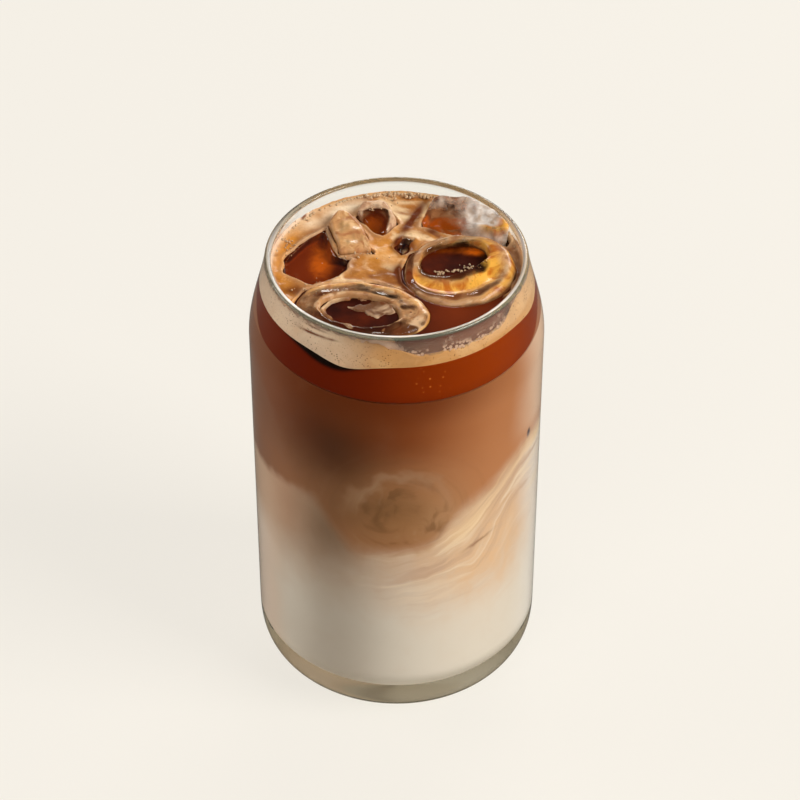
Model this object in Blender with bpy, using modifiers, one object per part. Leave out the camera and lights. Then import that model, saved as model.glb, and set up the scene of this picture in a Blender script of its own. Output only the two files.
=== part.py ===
"""Iced latte in a can-shaped glass: the tumbler, four drink layers and the floating ice.

Metres, +Z up. The origin is the middle of the foot, on the surface that the glass stands on,
and the front of the drink faces -Y. Every place in plan is given from the glass axis.
"""
import math

import bmesh
import bpy
from mathutils import Matrix, Vector

# Glass: a drawn-in rim, a straight side, a round heel and a thick base with a shallow punt
GLASS_HEIGHT = 0.133
SIDE_RADIUS = 0.038
RIM_RADIUS = 0.0334
RIM_WALL = 0.0017
SIDE_WALL = 0.0021
SHOULDER_HEIGHT = 0.0232
SHOULDER_LEAN = 0.77
FOOT_RADIUS = 0.0245
FOOT_RING_WIDTH = 0.0045
PUNT_DEPTH = 0.0012
PUNT_SHARE = 0.86
HEEL_HEIGHT = 0.0200
HEEL_POWER = 4.8
HEEL_SPACING = 1.7
FLOOR_HEIGHT = 0.0083
FLOOR_RADIUS = 0.022
CORNER_HEIGHT = 0.011
CORNER_POWER = 2.4

# Drink: heights above the table, and the gaps that keep neighbouring solids apart
GAP = 0.0003
WAVY_GAP = 0.0006
MILK_LEVEL = 0.0745
SWIRL_DIP = 0.0110
SWIRL_WIDTH = math.radians(32)
RIGHT_RISE = 0.0105
RIGHT_TURN = math.radians(60)
RIGHT_WIDTH = math.radians(24)
COFFEE_BASE = 0.1142
COFFEE_TILT = 0.0026
COFFEE_TURN = math.radians(15)
FOAM_BASE = 0.1247
POOL_LEVEL = 0.1281
FOAM_TOP = 0.1284
COLUMN_ROOT = 0.0020
CLEAR_OF_DRINK = 0.0040

# Open coffee between the two ice rings: centre, half lengths and turn of an oval
POOL_CENTRE = (0.0130, -0.0172)
POOL_HALF = (0.0140, 0.0090)
POOL_TURN = math.radians(20)

# Ice rings: plan centre of the end face, its height, half lengths outside and of the hole
RING_HEIGHT = 0.0115
RING_SQUARING = 0.55
PLUG_LENGTH = 0.0280
FRONT_RING = {
    "centre": (-0.0083, -0.0166, 0.1294),
    "outer": (0.0172, 0.0109),
    "hole": (0.0096, 0.0055),
    "hole_shift": (-0.0008, -0.0010),
    "turn": math.radians(-13),
    "tilt": math.radians(2),
    "tilt_turn": math.radians(80),
}
RIGHT_RING = {
    "centre": (0.0157, -0.0015, 0.1300),
    "outer": (0.0144, 0.0137),
    "hole": (0.0084, 0.0056),
    "hole_shift": (-0.0012, 0.0051),
    "turn": math.radians(0),
    "tilt": math.radians(5.5),
    "tilt_turn": math.radians(20),
}

RINGS = (("ice_ring_front", FRONT_RING), ("ice_ring_right", RIGHT_RING))

# Ice blocks: plan corners, anticlockwise, each with the height of its top, and the depth
BLOCK_DEPTH = 0.0100
BLOCK_TAPER = 0.08
BLOCKS = {
    "ice_left": (
        (-0.0212, -0.0070, 0.1283),
        (-0.0146, -0.0034, 0.1285),
        (-0.0116, 0.0038, 0.1286),
        (-0.0150, 0.0046, 0.1287),
        (-0.0183, 0.0162, 0.1290),
        (-0.0232, 0.0119, 0.1288),
        (-0.0287, 0.0036, 0.1285),
        (-0.0282, -0.0020, 0.1284),
    ),
    "ice_wedge": (
        (-0.0144, 0.0056, 0.1296),
        (-0.0064, 0.0066, 0.1298),
        (-0.0086, 0.0156, 0.1310),
        (-0.0122, 0.0208, 0.1313),
        (-0.0152, 0.0216, 0.1313),
        (-0.0174, 0.0172, 0.1310),
    ),
    "ice_back": (
        (-0.0036, 0.0134, 0.1290),
        (0.0004, 0.0186, 0.1298),
        (-0.0026, 0.0262, 0.1310),
        (-0.0088, 0.0260, 0.1310),
        (-0.0106, 0.0220, 0.1304),
        (-0.0069, 0.0164, 0.1292),
    ),
    "ice_small": (
        (0.0012, 0.0054, 0.1287),
        (0.0032, 0.0078, 0.1288),
        (0.0042, 0.0120, 0.1290),
        (0.0017, 0.0128, 0.1290),
        (-0.0002, 0.0087, 0.1288),
    ),
    "ice_slab": (
        (0.0060, 0.0172, 0.1296),
        (0.0160, 0.0134, 0.1304),
        (0.0280, 0.0092, 0.1334),
        (0.0292, 0.0112, 0.1344),
        (0.0258, 0.0172, 0.1350),
        (0.0182, 0.0246, 0.1328),
        (0.0094, 0.0276, 0.1318),
    ),
}
MELT_WIDTH = 0.0011
MELT_ANGLE = math.radians(30)

# Fineness of the curves, and height shares of the points down the side of each layer
TURN_STEPS = 48
LEVEL_RINGS = (0.0, 0.45, 0.8, 1.0)
MILK_WALL = (0.82, 0.6, 0.38, 0.18, 0.13, 0.085, 0.05, 0.025, 0.01)
LATTE_WALL = (0.85, 0.5)
COFFEE_WALL = (0.75, 0.5, 0.25)
FOAM_WALL = (0.5,)
RING_STEPS = 32
RING_PROFILE_STEPS = 10
LIP_POINTS = 6
CURVE_POINTS = 7
HEEL_POINTS = 10

PART = bpy.data.collections.new("iced_latte")
CUTTERS = bpy.data.collections.new("cutters")


def clear_scene():
    for old in list(bpy.data.objects):
        bpy.data.objects.remove(old, do_unlink=True)
    bpy.context.scene.collection.children.link(PART)
    bpy.context.scene.collection.children.link(CUTTERS)


def surface(name, colour, roughness, transmission=0.0, ior=1.45):
    """One Principled material for one kind of stuff."""
    material = bpy.data.materials.new(name)
    material.use_nodes = True
    shader = material.node_tree.nodes["Principled BSDF"]
    shader.inputs["Base Color"].default_value = (*colour, 1.0)
    shader.inputs["Roughness"].default_value = roughness
    shader.inputs["Metallic"].default_value = 0.0
    shader.inputs["Transmission Weight"].default_value = transmission
    shader.inputs["IOR"].default_value = ior
    return material


def piece(name, mesh, material=None):
    """An object of the part, shaded smooth but for its sharp edges."""
    body = bpy.data.objects.new(name, mesh)
    PART.objects.link(body)
    mesh.shade_smooth()
    mesh.set_sharp_from_angle(angle=math.radians(35))
    if material is not None:
        mesh.materials.append(material)
    return body


def cutter(name, mesh):
    """A shape that only cuts or joins, kept out of the part."""
    body = bpy.data.objects.new(name, mesh)
    CUTTERS.objects.link(body)
    body.hide_render = True
    body.display_type = "WIRE"
    return body


def evaluated_mesh(body):
    """The object's mesh with its modifiers applied."""
    graph = bpy.context.evaluated_depsgraph_get()
    return bpy.data.meshes.new_from_object(body.evaluated_get(graph))


def boolean(body, operation, other):
    """A Boolean modifier by the exact solver."""
    modifier = body.modifiers.new(f"{operation} {other.name}", "BOOLEAN")
    modifier.operation = operation
    modifier.solver = "EXACT"
    modifier.object = other


def outer_radius(height):
    """Outside of the glass: power curve heel, straight side, Hermite shoulder up to the lip."""
    lip_centre = GLASS_HEIGHT - RIM_WALL / 2
    below_lip = (lip_centre - height) / SHOULDER_HEIGHT
    if below_lip < 1.0:
        t = max(below_lip, 0.0)
        share = SHOULDER_LEAN * (t ** 3 - 2 * t ** 2 + t) + 3 * t ** 2 - 2 * t ** 3
        return RIM_RADIUS + (SIDE_RADIUS - RIM_RADIUS) * share
    if height < HEEL_HEIGHT:
        rest = (1.0 - height / HEEL_HEIGHT) ** HEEL_POWER
        return SIDE_RADIUS - (SIDE_RADIUS - FOOT_RADIUS) * rest
    return SIDE_RADIUS


def inner_radius(height):
    """Inside of the glass: the outside less the wall, and a round corner on the floor."""
    lip_centre = GLASS_HEIGHT - RIM_WALL / 2
    t = min(max((lip_centre - height) / SHOULDER_HEIGHT, 0.0), 1.0)
    wall = RIM_WALL + (SIDE_WALL - RIM_WALL) * t
    above_floor = (height - FLOOR_HEIGHT) / CORNER_HEIGHT
    if above_floor < 1.0:
        side = SIDE_RADIUS - SIDE_WALL
        rest = (1.0 - max(above_floor, 0.0)) ** CORNER_POWER
        return side - (side - FLOOR_RADIUS) * rest
    return outer_radius(height) - wall


def glass_profile():
    """From the middle of the floor up the inside, over the lip and down to the punt."""
    lip_centre = GLASS_HEIGHT - RIM_WALL / 2
    points = [(0.0, FLOOR_HEIGHT)]
    for i in range(CURVE_POINTS + 1):
        height = FLOOR_HEIGHT + CORNER_HEIGHT * i / CURVE_POINTS
        points.append((inner_radius(height), height))
    shoulder_base = lip_centre - SHOULDER_HEIGHT
    for i in range(CURVE_POINTS):
        height = shoulder_base + SHOULDER_HEIGHT * i / CURVE_POINTS
        points.append((inner_radius(height), height))
    for i in range(LIP_POINTS + 1):
        turn = math.pi * (1 - i / LIP_POINTS)
        radius = RIM_RADIUS - RIM_WALL / 2 + RIM_WALL / 2 * math.cos(turn)
        points.append((radius, lip_centre + RIM_WALL / 2 * math.sin(turn)))
    for i in range(1, CURVE_POINTS + 1):
        height = lip_centre - SHOULDER_HEIGHT * i / CURVE_POINTS
        points.append((outer_radius(height), height))
    for i in range(HEEL_POINTS + 1):
        height = HEEL_HEIGHT * (1 - i / HEEL_POINTS) ** HEEL_SPACING
        points.append((outer_radius(height), height))
    ring_inside = FOOT_RADIUS - FOOT_RING_WIDTH
    points.append((ring_inside, 0.0))
    points.append((ring_inside * PUNT_SHARE, PUNT_DEPTH))
    points.append((0.0, PUNT_DEPTH))
    return points


def turned_mesh(name, points):
    """The profile turned once round the axis with a Screw modifier."""
    mesh = bpy.data.meshes.new(name)
    edges = [(i, i + 1) for i in range(len(points) - 1)]
    mesh.from_pydata([(radius, 0.0, height) for radius, height in points], edges, [])
    blank = cutter(f"{name} profile", mesh)
    screw = blank.modifiers.new("turn", "SCREW")
    screw.axis = "Z"
    screw.angle = math.tau
    screw.steps = TURN_STEPS
    screw.render_steps = TURN_STEPS
    screw.use_merge_vertices = True
    screw.merge_threshold = 0.00001
    result = evaluated_mesh(blank)
    bpy.data.objects.remove(blank, do_unlink=True)
    return result


def milk_level(x, y):
    """Top of the milk: it dips under the swirl in front and climbs the wall on the right."""
    reach = min(math.hypot(x, y) / SIDE_RADIUS, 1.0) ** 2
    turn = math.atan2(x, -y)
    dip = SWIRL_DIP * math.exp(-(turn / SWIRL_WIDTH) ** 2)
    rise = RIGHT_RISE * math.exp(-((turn - RIGHT_TURN) / RIGHT_WIDTH) ** 2)
    return MILK_LEVEL + reach * (rise - dip)


def coffee_base(x, y):
    """Underside of the dark coffee: lowest at the front right."""
    reach = min(math.hypot(x, y) / SIDE_RADIUS, 1.0)
    turn = math.atan2(x, -y)
    return COFFEE_BASE + COFFEE_TILT * (1 - reach * math.cos(turn - COFFEE_TURN))


def layer_mesh(name, low, high, wall_shares):
    """A slab of drink between two level functions, out to the glass less the gap.

    A profile of radius and height shares is turned, then each point is put at its real place.
    """
    profile = [(share, 1.0) for share in LEVEL_RINGS]
    profile += [(1.0, share) for share in wall_shares]
    profile += [(share, 0.0) for share in reversed(LEVEL_RINGS)]
    mesh = turned_mesh(name, profile)
    for vertex in mesh.vertices:
        share = math.hypot(vertex.co.x, vertex.co.y)
        turn = math.atan2(vertex.co.y, vertex.co.x)
        x = share * SIDE_RADIUS * math.cos(turn)
        y = share * SIDE_RADIUS * math.sin(turn)
        height = low(x, y) + (high(x, y) - low(x, y)) * vertex.co.z
        radius = share * (inner_radius(height - GAP) - GAP)
        vertex.co = (radius * math.cos(turn), radius * math.sin(turn), height)
    return mesh


def ring_mesh(name, ring, grow=0.0):
    """A melted ice ring: a torus whose section is squared off between hole and outside."""
    bpy.ops.mesh.primitive_torus_add(major_segments=RING_STEPS, minor_segments=RING_PROFILE_STEPS)
    torus = bpy.context.object
    mesh = torus.data.copy()
    mesh.name = name
    bpy.data.objects.remove(torus, do_unlink=True)
    shift = Vector((*ring["hole_shift"], 0.0))
    for vertex in mesh.vertices:
        turn = math.atan2(vertex.co.y, vertex.co.x)
        across = math.hypot(vertex.co.x, vertex.co.y) - 1.0
        section = math.atan2(vertex.co.z, across)
        outwards = squared(math.cos(section))
        upwards = squared(math.sin(section))
        along = Vector((math.cos(turn), math.sin(turn), 0.0))
        outer = Vector((
            (ring["outer"][0] + grow) * along.x,
            (ring["outer"][1] + grow) * along.y,
            0.0,
        ))
        hole = shift + Vector((
            (ring["hole"][0] - grow) * along.x,
            (ring["hole"][1] - grow) * along.y,
            0.0,
        ))
        place = hole.lerp(outer, 0.5 + 0.5 * outwards)
        place.z = -RING_HEIGHT / 2 + (RING_HEIGHT / 2 + grow) * upwards
        vertex.co = place
    mesh.transform(ring_matrix(ring))
    return mesh


def squared(value):
    """Pushes a sine or cosine out, so that a circle becomes a square with melted corners."""
    return math.copysign(abs(value) ** RING_SQUARING, value)


def ring_matrix(ring):
    """Turns the ring in plan, tips it, and puts its end face at its place."""
    tip = Matrix.Rotation(ring["tilt"], 4, Vector((
        math.sin(ring["tilt_turn"]),
        -math.cos(ring["tilt_turn"]),
        0.0,
    )))
    place = Matrix.Translation(Vector(ring["centre"]))
    return place @ tip.inverted() @ Matrix.Rotation(ring["turn"], 4, "Z")


def middle_oval(ring):
    """The oval halfway through the wall of a ring: its centre from the ring's, and half lengths."""
    shift = [ring["hole_shift"][i] / 2 for i in range(2)]
    half = [(ring["outer"][i] + ring["hole"][i]) / 2 for i in range(2)]
    return shift, half


def column_mesh(name, centre, half, turn, low, high):
    """An upright oval column."""
    mesh = bpy.data.meshes.new(name)
    work = bmesh.new()
    bmesh.ops.create_cone(
        work,
        cap_ends=True,
        segments=RING_STEPS,
        radius1=1.0,
        radius2=1.0,
        depth=1.0,
    )
    work.to_mesh(mesh)
    work.free()
    middle = (*centre, (low + high) / 2)
    mesh.transform(Matrix.Diagonal((half[0], half[1], high - low, 1.0)))
    mesh.transform(Matrix.Translation(middle) @ Matrix.Rotation(turn, 4, "Z"))
    return mesh


def plug_mesh(name, ring):
    """Fills the hole of a ring out to the middle of its wall, tipped with it."""
    shift, half = middle_oval(ring)
    low = -(PLUG_LENGTH + RING_HEIGHT) / 2
    mesh = column_mesh(name, shift, half, 0.0, low, low + PLUG_LENGTH)
    mesh.transform(ring_matrix(ring))
    return mesh


def pool_mesh(name, ring):
    """Coffee standing in the hole of a ring, level, and let into the middle of its wall."""
    shift, half = middle_oval(ring)
    centre = ring_matrix(ring) @ Vector((*shift, 0.0))
    low = FOAM_BASE - GAP - COLUMN_ROOT
    return column_mesh(name, centre[:2], half, ring["turn"], low, POOL_LEVEL)


def block_mesh(name, corners, grow=0.0):
    """A prism with its corners moved to the block's own, and its edges melted round."""
    middle = sum((Vector(corner[:2]) for corner in corners), Vector((0.0, 0.0))) / len(corners)
    mesh = bpy.data.meshes.new(name)
    work = bmesh.new()
    bmesh.ops.create_cone(
        work,
        cap_ends=True,
        segments=len(corners),
        radius1=1.0,
        radius2=1.0,
        depth=1.0,
    )
    first_turn = min(math.atan2(v.co.y, v.co.x) % math.tau for v in work.verts)
    for vertex in work.verts:
        turn = math.atan2(vertex.co.y, vertex.co.x) % math.tau
        index = round((turn - first_turn) / math.tau * len(corners)) % len(corners)
        corner = corners[index]
        outwards = (Vector(corner[:2]) - middle).normalized()
        plan = Vector(corner[:2]) + outwards * grow * math.sqrt(2)
        if vertex.co.z > 0:
            height = corner[2] + grow
        else:
            height = corner[2] - BLOCK_DEPTH - grow
            plan = plan.lerp(middle, BLOCK_TAPER)
        vertex.co = (*plan, height)
    bmesh.ops.triangulate(work, faces=[face for face in work.faces if len(face.verts) > 4])
    bmesh.ops.bevel(
        work,
        geom=[edge for edge in work.edges if edge.calc_face_angle() > MELT_ANGLE],
        offset=MELT_WIDTH,
        segments=2,
        profile=0.5,
        affect="EDGES",
        clamp_overlap=True,
    )
    bmesh.ops.recalc_face_normals(work, faces=work.faces)
    work.to_mesh(mesh)
    work.free()
    return mesh


def build_glass():
    material = surface("clear_glass", (0.93, 0.95, 0.92), 0.02, 1.0, 1.5)
    piece("glass", turned_mesh("glass", glass_profile()), material)


def build_milk():
    """The milk fills the round floor of the glass, so its wall has more points low down."""
    material = surface("cold_milk", (0.80, 0.72, 0.62), 0.35)
    mesh = layer_mesh("milk", lambda x, y: FLOOR_HEIGHT + GAP, milk_level, MILK_WALL)
    piece("milk", mesh, material)


def build_latte():
    material = surface("milk_coffee", (0.42, 0.20, 0.10), 0.3)
    low = lambda x, y: milk_level(x, y) + WAVY_GAP
    mesh = layer_mesh("latte", low, coffee_base, LATTE_WALL)
    piece("latte", mesh, material)


def build_ice():
    """The floating ice, and a cutter for each piece that is the piece grown by the gap."""
    material = surface("melting_ice", (0.85, 0.78, 0.70), 0.08, 0.85, 1.31)
    cuts = []
    for name, ring in RINGS:
        piece(name, ring_mesh(name, ring), material)
        cuts.append(cutter(f"{name} cut", ring_mesh(f"{name} cut", ring, GAP)))
    for name, corners in BLOCKS.items():
        piece(name, block_mesh(name, corners), material)
        cuts.append(cutter(f"{name} cut", block_mesh(f"{name} cut", corners, GAP)))
    return cuts


def build_coffee(ice_cuts, rings):
    """Dark coffee under the foam, coming up to the surface in the open pool and the rings."""
    material = surface("strong_coffee", (0.11, 0.03, 0.01), 0.08)
    top = FOAM_BASE - GAP
    mesh = layer_mesh(
        "coffee",
        lambda x, y: coffee_base(x, y) + WAVY_GAP,
        lambda x, y: top,
        COFFEE_WALL,
    )
    body = piece("coffee", mesh, material)
    open_pool = column_mesh(
        "open pool", POOL_CENTRE, POOL_HALF, POOL_TURN, top - COLUMN_ROOT, POOL_LEVEL
    )
    boolean(body, "UNION", cutter("open pool", open_pool))
    for name, ring in rings:
        boolean(body, "UNION", cutter(f"{name} pool", pool_mesh(f"{name} pool", ring)))
    for cut in ice_cuts:
        boolean(body, "DIFFERENCE", cut)


def build_foam(ice_cuts, rings):
    """A skin of fine foam from wall to wall, open at the ice and at the pool."""
    material = surface("coffee_foam", (0.66, 0.42, 0.22), 0.6)
    mesh = layer_mesh("foam", lambda x, y: FOAM_BASE, lambda x, y: FOAM_TOP, FOAM_WALL)
    body = piece("foam", mesh, material)
    half = [length + GAP for length in POOL_HALF]
    low = FOAM_BASE - COLUMN_ROOT
    high = FOAM_TOP + CLEAR_OF_DRINK
    opening = column_mesh("pool edge", POOL_CENTRE, half, POOL_TURN, low, high)
    boolean(body, "DIFFERENCE", cutter("pool edge", opening))
    for name, ring in rings:
        boolean(body, "DIFFERENCE", cutter(f"{name} plug", plug_mesh(f"{name} plug", ring)))
    for cut in ice_cuts:
        boolean(body, "DIFFERENCE", cut)


def build():
    clear_scene()
    build_glass()
    build_milk()
    build_latte()
    ice_cuts = build_ice()
    build_coffee(ice_cuts, RINGS)
    build_foam(ice_cuts, RINGS)


build()
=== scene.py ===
import math

import bpy
import numpy as np
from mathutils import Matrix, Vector


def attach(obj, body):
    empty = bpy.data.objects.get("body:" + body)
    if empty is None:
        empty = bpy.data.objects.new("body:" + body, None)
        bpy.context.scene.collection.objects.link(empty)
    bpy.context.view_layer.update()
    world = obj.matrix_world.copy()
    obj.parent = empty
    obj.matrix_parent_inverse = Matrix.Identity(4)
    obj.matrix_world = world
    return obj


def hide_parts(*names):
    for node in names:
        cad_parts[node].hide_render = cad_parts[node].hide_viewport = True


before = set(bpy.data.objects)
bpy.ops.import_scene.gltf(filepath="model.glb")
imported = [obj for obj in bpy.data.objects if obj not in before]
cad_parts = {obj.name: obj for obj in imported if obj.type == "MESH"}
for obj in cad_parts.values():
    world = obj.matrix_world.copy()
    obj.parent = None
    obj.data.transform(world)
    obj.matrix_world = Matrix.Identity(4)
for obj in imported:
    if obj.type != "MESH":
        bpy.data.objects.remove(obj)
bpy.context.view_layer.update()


# Camera and studio
# The camera stands in front of the glass and looks down on it by 41 degrees, as in the
# photograph. Four soft lamps stand round the glass, over a plain cream floor.

CAMERA_RISE = math.radians(40.85)
CAMERA_DISTANCE = 0.7297
LOOK_AT_HEIGHT = 0.0845
FOCAL_PIXELS = 2771.0
AXIS_PIXEL = 396.6
FRAME_PIXELS = 800
FILM_WIDTH = 36.0
LAMP_AIM = Vector((0.0, 0.0, 0.07))
SKY_STOPS = ((0.0, (0.30, 0.29, 0.27, 1.0)), (0.75, (0.92, 0.92, 0.94, 1.0)))
SKY_STRENGTH = 0.14
FLOOR_SIZE = 6.0
FLOOR_PAINT = (0.16, 0.155, 0.145, 1.0)
FLOOR_GLOW = (0.73, 0.70, 0.64, 1.0)
# Each lamp: turn from the front towards the right, angle up, distance, width, height, power, colour
LAMPS = {
    "key": (68, 40, 1.9, 0.90, 0.90, 36.0, (1.0, 0.95, 0.88)),
    "front": (-22, 52, 2.2, 1.20, 1.20, 14.0, (1.0, 0.94, 0.88)),
    "back": (166, 25, 1.7, 1.10, 0.30, 12.0, (1.0, 0.97, 0.93)),
    "fill": (-108, 22, 1.9, 0.80, 0.80, 9.0, (1.0, 0.91, 0.84)),
}

camera_data = bpy.data.cameras.new("camera")
camera_data.sensor_width = FILM_WIDTH
camera_data.lens = FOCAL_PIXELS * FILM_WIDTH / FRAME_PIXELS
camera_data.shift_x = (FRAME_PIXELS / 2 - AXIS_PIXEL) / FRAME_PIXELS
camera = bpy.data.objects.new("camera", camera_data)
camera.location = (
    0.0,
    -CAMERA_DISTANCE * math.cos(CAMERA_RISE),
    LOOK_AT_HEIGHT + CAMERA_DISTANCE * math.sin(CAMERA_RISE),
)
camera.rotation_euler = (math.pi / 2 - CAMERA_RISE, 0.0, 0.0)
bpy.context.scene.collection.objects.link(camera)
bpy.context.scene.camera = camera
bpy.context.scene.view_settings.view_transform = "Standard"

for name, (turn, lift, distance, width, length, power, colour) in LAMPS.items():
    lamp_data = bpy.data.lights.new(name, "AREA")
    lamp_data.shape = "RECTANGLE"
    lamp_data.size = width
    lamp_data.size_y = length
    lamp_data.energy = power
    lamp_data.color = colour
    lamp = bpy.data.objects.new(name, lamp_data)
    lamp.visible_transmission = False
    turn, lift = math.radians(turn), math.radians(lift)
    away = Vector((
        math.sin(turn) * math.cos(lift),
        -math.cos(turn) * math.cos(lift),
        math.sin(lift),
    ))
    lamp.location = LAMP_AIM + away * distance
    lamp.rotation_euler = away.to_track_quat("Z", "Y").to_euler()
    bpy.context.scene.collection.objects.link(lamp)


def feed(socket, value):
    """Links a node's output to an input, or sets the input to a plain value."""
    if isinstance(value, Field):
        value = value.socket
    if isinstance(value, bpy.types.NodeSocket):
        socket.id_data.links.new(value, socket)
    else:
        socket.default_value = value


def put(tree, kind, inputs=None, **settings):
    """A new node with its settings, and its inputs fed by name or number."""
    node = tree.nodes.new(kind)
    for name, value in settings.items():
        setattr(node, name, value)
    for name, value in (inputs or {}).items():
        feed(node.inputs[name], value)
    return node


class Field:
    """A number that changes over a surface. Its arithmetic adds Math nodes to its tree."""

    def __init__(self, socket):
        self.socket = socket

    def combine(self, operation, *others):
        values = {i: value for i, value in enumerate((self, *others))}
        node = put(self.socket.id_data, "ShaderNodeMath", values, operation=operation)
        return Field(node.outputs[0])

    def __add__(self, other):
        return self.combine("ADD", other)

    def __sub__(self, other):
        return self.combine("SUBTRACT", other)

    def __mul__(self, other):
        return self.combine("MULTIPLY", other)

    def __truediv__(self, other):
        return self.combine("DIVIDE", other)

    def most(self, other):
        return self.combine("MAXIMUM", other)

    def bell(self):
        """A bell curve: e to the power of minus the square."""
        power = self * self * -1.0
        node = put(self.socket.id_data, "ShaderNodeMath", {0: math.e, 1: power}, operation="POWER")
        return Field(node.outputs[0])

    def hump(self, middle, width):
        """1 at the middle, falling off as a bell curve of that width."""
        return ((self - middle) / width).bell()

    def step(self, low, high, bottom=0.0, top=1.0):
        """Rises smoothly from bottom to top between low and high."""
        node = put(self.socket.id_data, "ShaderNodeMapRange", {
            "Value": self,
            "From Min": low,
            "From Max": high,
            "To Min": bottom,
            "To Max": top,
        }, interpolation_type="SMOOTHSTEP")
        return Field(node.outputs[0])


def new_material(name):
    """A material with one Principled shader, and its tree."""
    material = bpy.data.materials.new(name)
    material.use_nodes = True
    tree = material.node_tree
    return material, tree, tree.nodes["Principled BSDF"]


def set_finish(shader, **finish):
    """Constant values on a shader's own sockets. An underscore stands for a space."""
    for name, value in finish.items():
        shader.inputs[name.replace("_", " ")].default_value = value


world = bpy.data.worlds.new("studio")
world.use_nodes = True
sky = world.node_tree
sky_place = put(sky, "ShaderNodeTexCoord").outputs["Generated"]
sky_split = put(sky, "ShaderNodeSeparateXYZ", {0: sky_place})
sky_ramp = put(sky, "ShaderNodeValToRGB", {0: sky_split.outputs["Z"]})
for stop, (position, colour) in zip(sky_ramp.color_ramp.elements, SKY_STOPS):
    stop.position = position
    stop.color = colour
background = sky.nodes["Background"]
feed(background.inputs["Color"], sky_ramp.outputs[0])
feed(background.inputs["Strength"], SKY_STRENGTH)
bpy.context.scene.world = world

floor_mesh = bpy.data.meshes.new("floor")
floor_corners = FLOOR_SIZE * np.array([(-1, -1, 0), (1, -1, 0), (1, 1, 0), (-1, 1, 0)])
floor_mesh.from_pydata(floor_corners.tolist(), [], [(0, 1, 2, 3)])
floor = bpy.data.objects.new("floor", floor_mesh)
bpy.context.scene.collection.objects.link(floor)
floor_material, tree, shader = new_material("floor")
set_finish(shader, Base_Color=FLOOR_PAINT, Emission_Color=FLOOR_GLOW)
set_finish(shader, Roughness=0.9, Specular_IOR_Level=0.1)
path = put(tree, "ShaderNodeLightPath")
glow = Field(path.outputs["Is Camera Ray"])
for kind in ("Is Transmission Ray", "Is Diffuse Ray"):
    glow = glow.most(Field(path.outputs[kind]))
feed(shader.inputs["Emission Strength"], glow)
floor_mesh.materials.append(floor_material)


# Glass
# A can-shaped tumbler of clear soda-lime glass, pressed and fire-polished: a drawn-in
# shoulder, a round lip, a straight side, a round heel and a thick base with a shallow punt.

GLASS_HEIGHT = 0.133
SIDE_RADIUS = 0.038
RIM_RADIUS = 0.0334
RIM_WALL = 0.0017
SIDE_WALL = 0.0021
SHOULDER_HEIGHT = 0.0232
SHOULDER_LEAN = 0.77
FOOT_RADIUS = 0.0245
FOOT_RING_WIDTH = 0.0045
PUNT_DEPTH = 0.0012
PUNT_SHARE = 0.86
HEEL_HEIGHT = 0.0200
HEEL_POWER = 4.8
FLOOR_HEIGHT = 0.0083
FLOOR_RADIUS = 0.022
CORNER_HEIGHT = 0.011
CORNER_POWER = 2.4
LIP_CENTRE = GLASS_HEIGHT - RIM_WALL / 2
GLASS_COLUMNS = 224
FOOT_ROUNDING = 0.0006
PUNT_EDGE = (0.0009, 0.0002)
SHARP_FROM = math.radians(60)
INSIDE_FROM = 0.12
# Heights between which the marks on the wall and the lip fade in or out
LIP_BAND = (0.1319, 0.1326)
PAINTED_GLEAM_BAND = (0.1322, 0.1327)
FILM_TOP = (0.1321, 0.1308)
FILM_FOOT = (0.1262, 0.1275)
FLECKS_TOP = (0.1303, 0.1278)
FLECKS_FOOT = (0.1225, 0.1240)


def outer_radius(height):
    """Outside of the glass: power-curve heel, straight side, Hermite shoulder up to the lip."""
    t = np.clip((LIP_CENTRE - height) / SHOULDER_HEIGHT, 0.0, 1.0)
    share = SHOULDER_LEAN * (t ** 3 - 2 * t ** 2 + t) + 3 * t ** 2 - 2 * t ** 3
    heel = np.clip(1.0 - height / HEEL_HEIGHT, 0.0, 1.0) ** HEEL_POWER
    shoulder = RIM_RADIUS + (SIDE_RADIUS - RIM_RADIUS) * share
    return shoulder - (SIDE_RADIUS - FOOT_RADIUS) * heel


def inner_radius(height):
    """Inside of the glass: the outside less the wall, with a round corner on the floor."""
    t = np.clip((LIP_CENTRE - height) / SHOULDER_HEIGHT, 0.0, 1.0)
    side = SIDE_RADIUS - SIDE_WALL
    above_floor = np.clip((height - FLOOR_HEIGHT) / CORNER_HEIGHT, 0.0, 1.0)
    corner = side - (side - FLOOR_RADIUS) * (1.0 - above_floor) ** CORNER_POWER
    wall = RIM_WALL + (SIDE_WALL - RIM_WALL) * t
    upper = RIM_RADIUS + (outer_radius(height) - RIM_RADIUS) - wall
    return np.where(above_floor < 1.0, corner, upper)


def full_turn(count):
    """That many directions, evenly spaced round the upright axis."""
    return np.arange(count) * math.tau / count


def from_front(turns):
    """Degrees from the front towards the right, of directions that count from the right."""
    return np.degrees(np.arctan2(np.cos(turns), -np.sin(turns)))


def around(radii, turns, heights):
    """Points at those radii and heights, in rows round the upright axis."""
    x, y = radii * np.cos(turns), radii * np.sin(turns)
    return np.stack(np.broadcast_arrays(x, y, heights), axis=-1)


def quads_of(index):
    """Quads between the rows of a grid of corner numbers. Its columns join up.

    They run down the rows and then along the columns, so that rows going down the outside and
    columns going anticlockwise face outwards.
    """
    after = np.roll(index, -1, axis=1)
    return np.stack([index[:-1], index[1:], after[1:], after[:-1]], axis=-1).reshape(-1, 4)


def caps_of(index, first, last):
    """Triangles from the first row of such a grid to one pole, and from the last to another."""
    after = np.roll(index, -1, axis=1)
    each = np.ones_like(index[0])
    top = np.stack([first * each, index[0], after[0]], axis=-1)
    base = np.stack([last * each, after[-1], index[-1]], axis=-1)
    return np.vstack([top, base])


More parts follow.
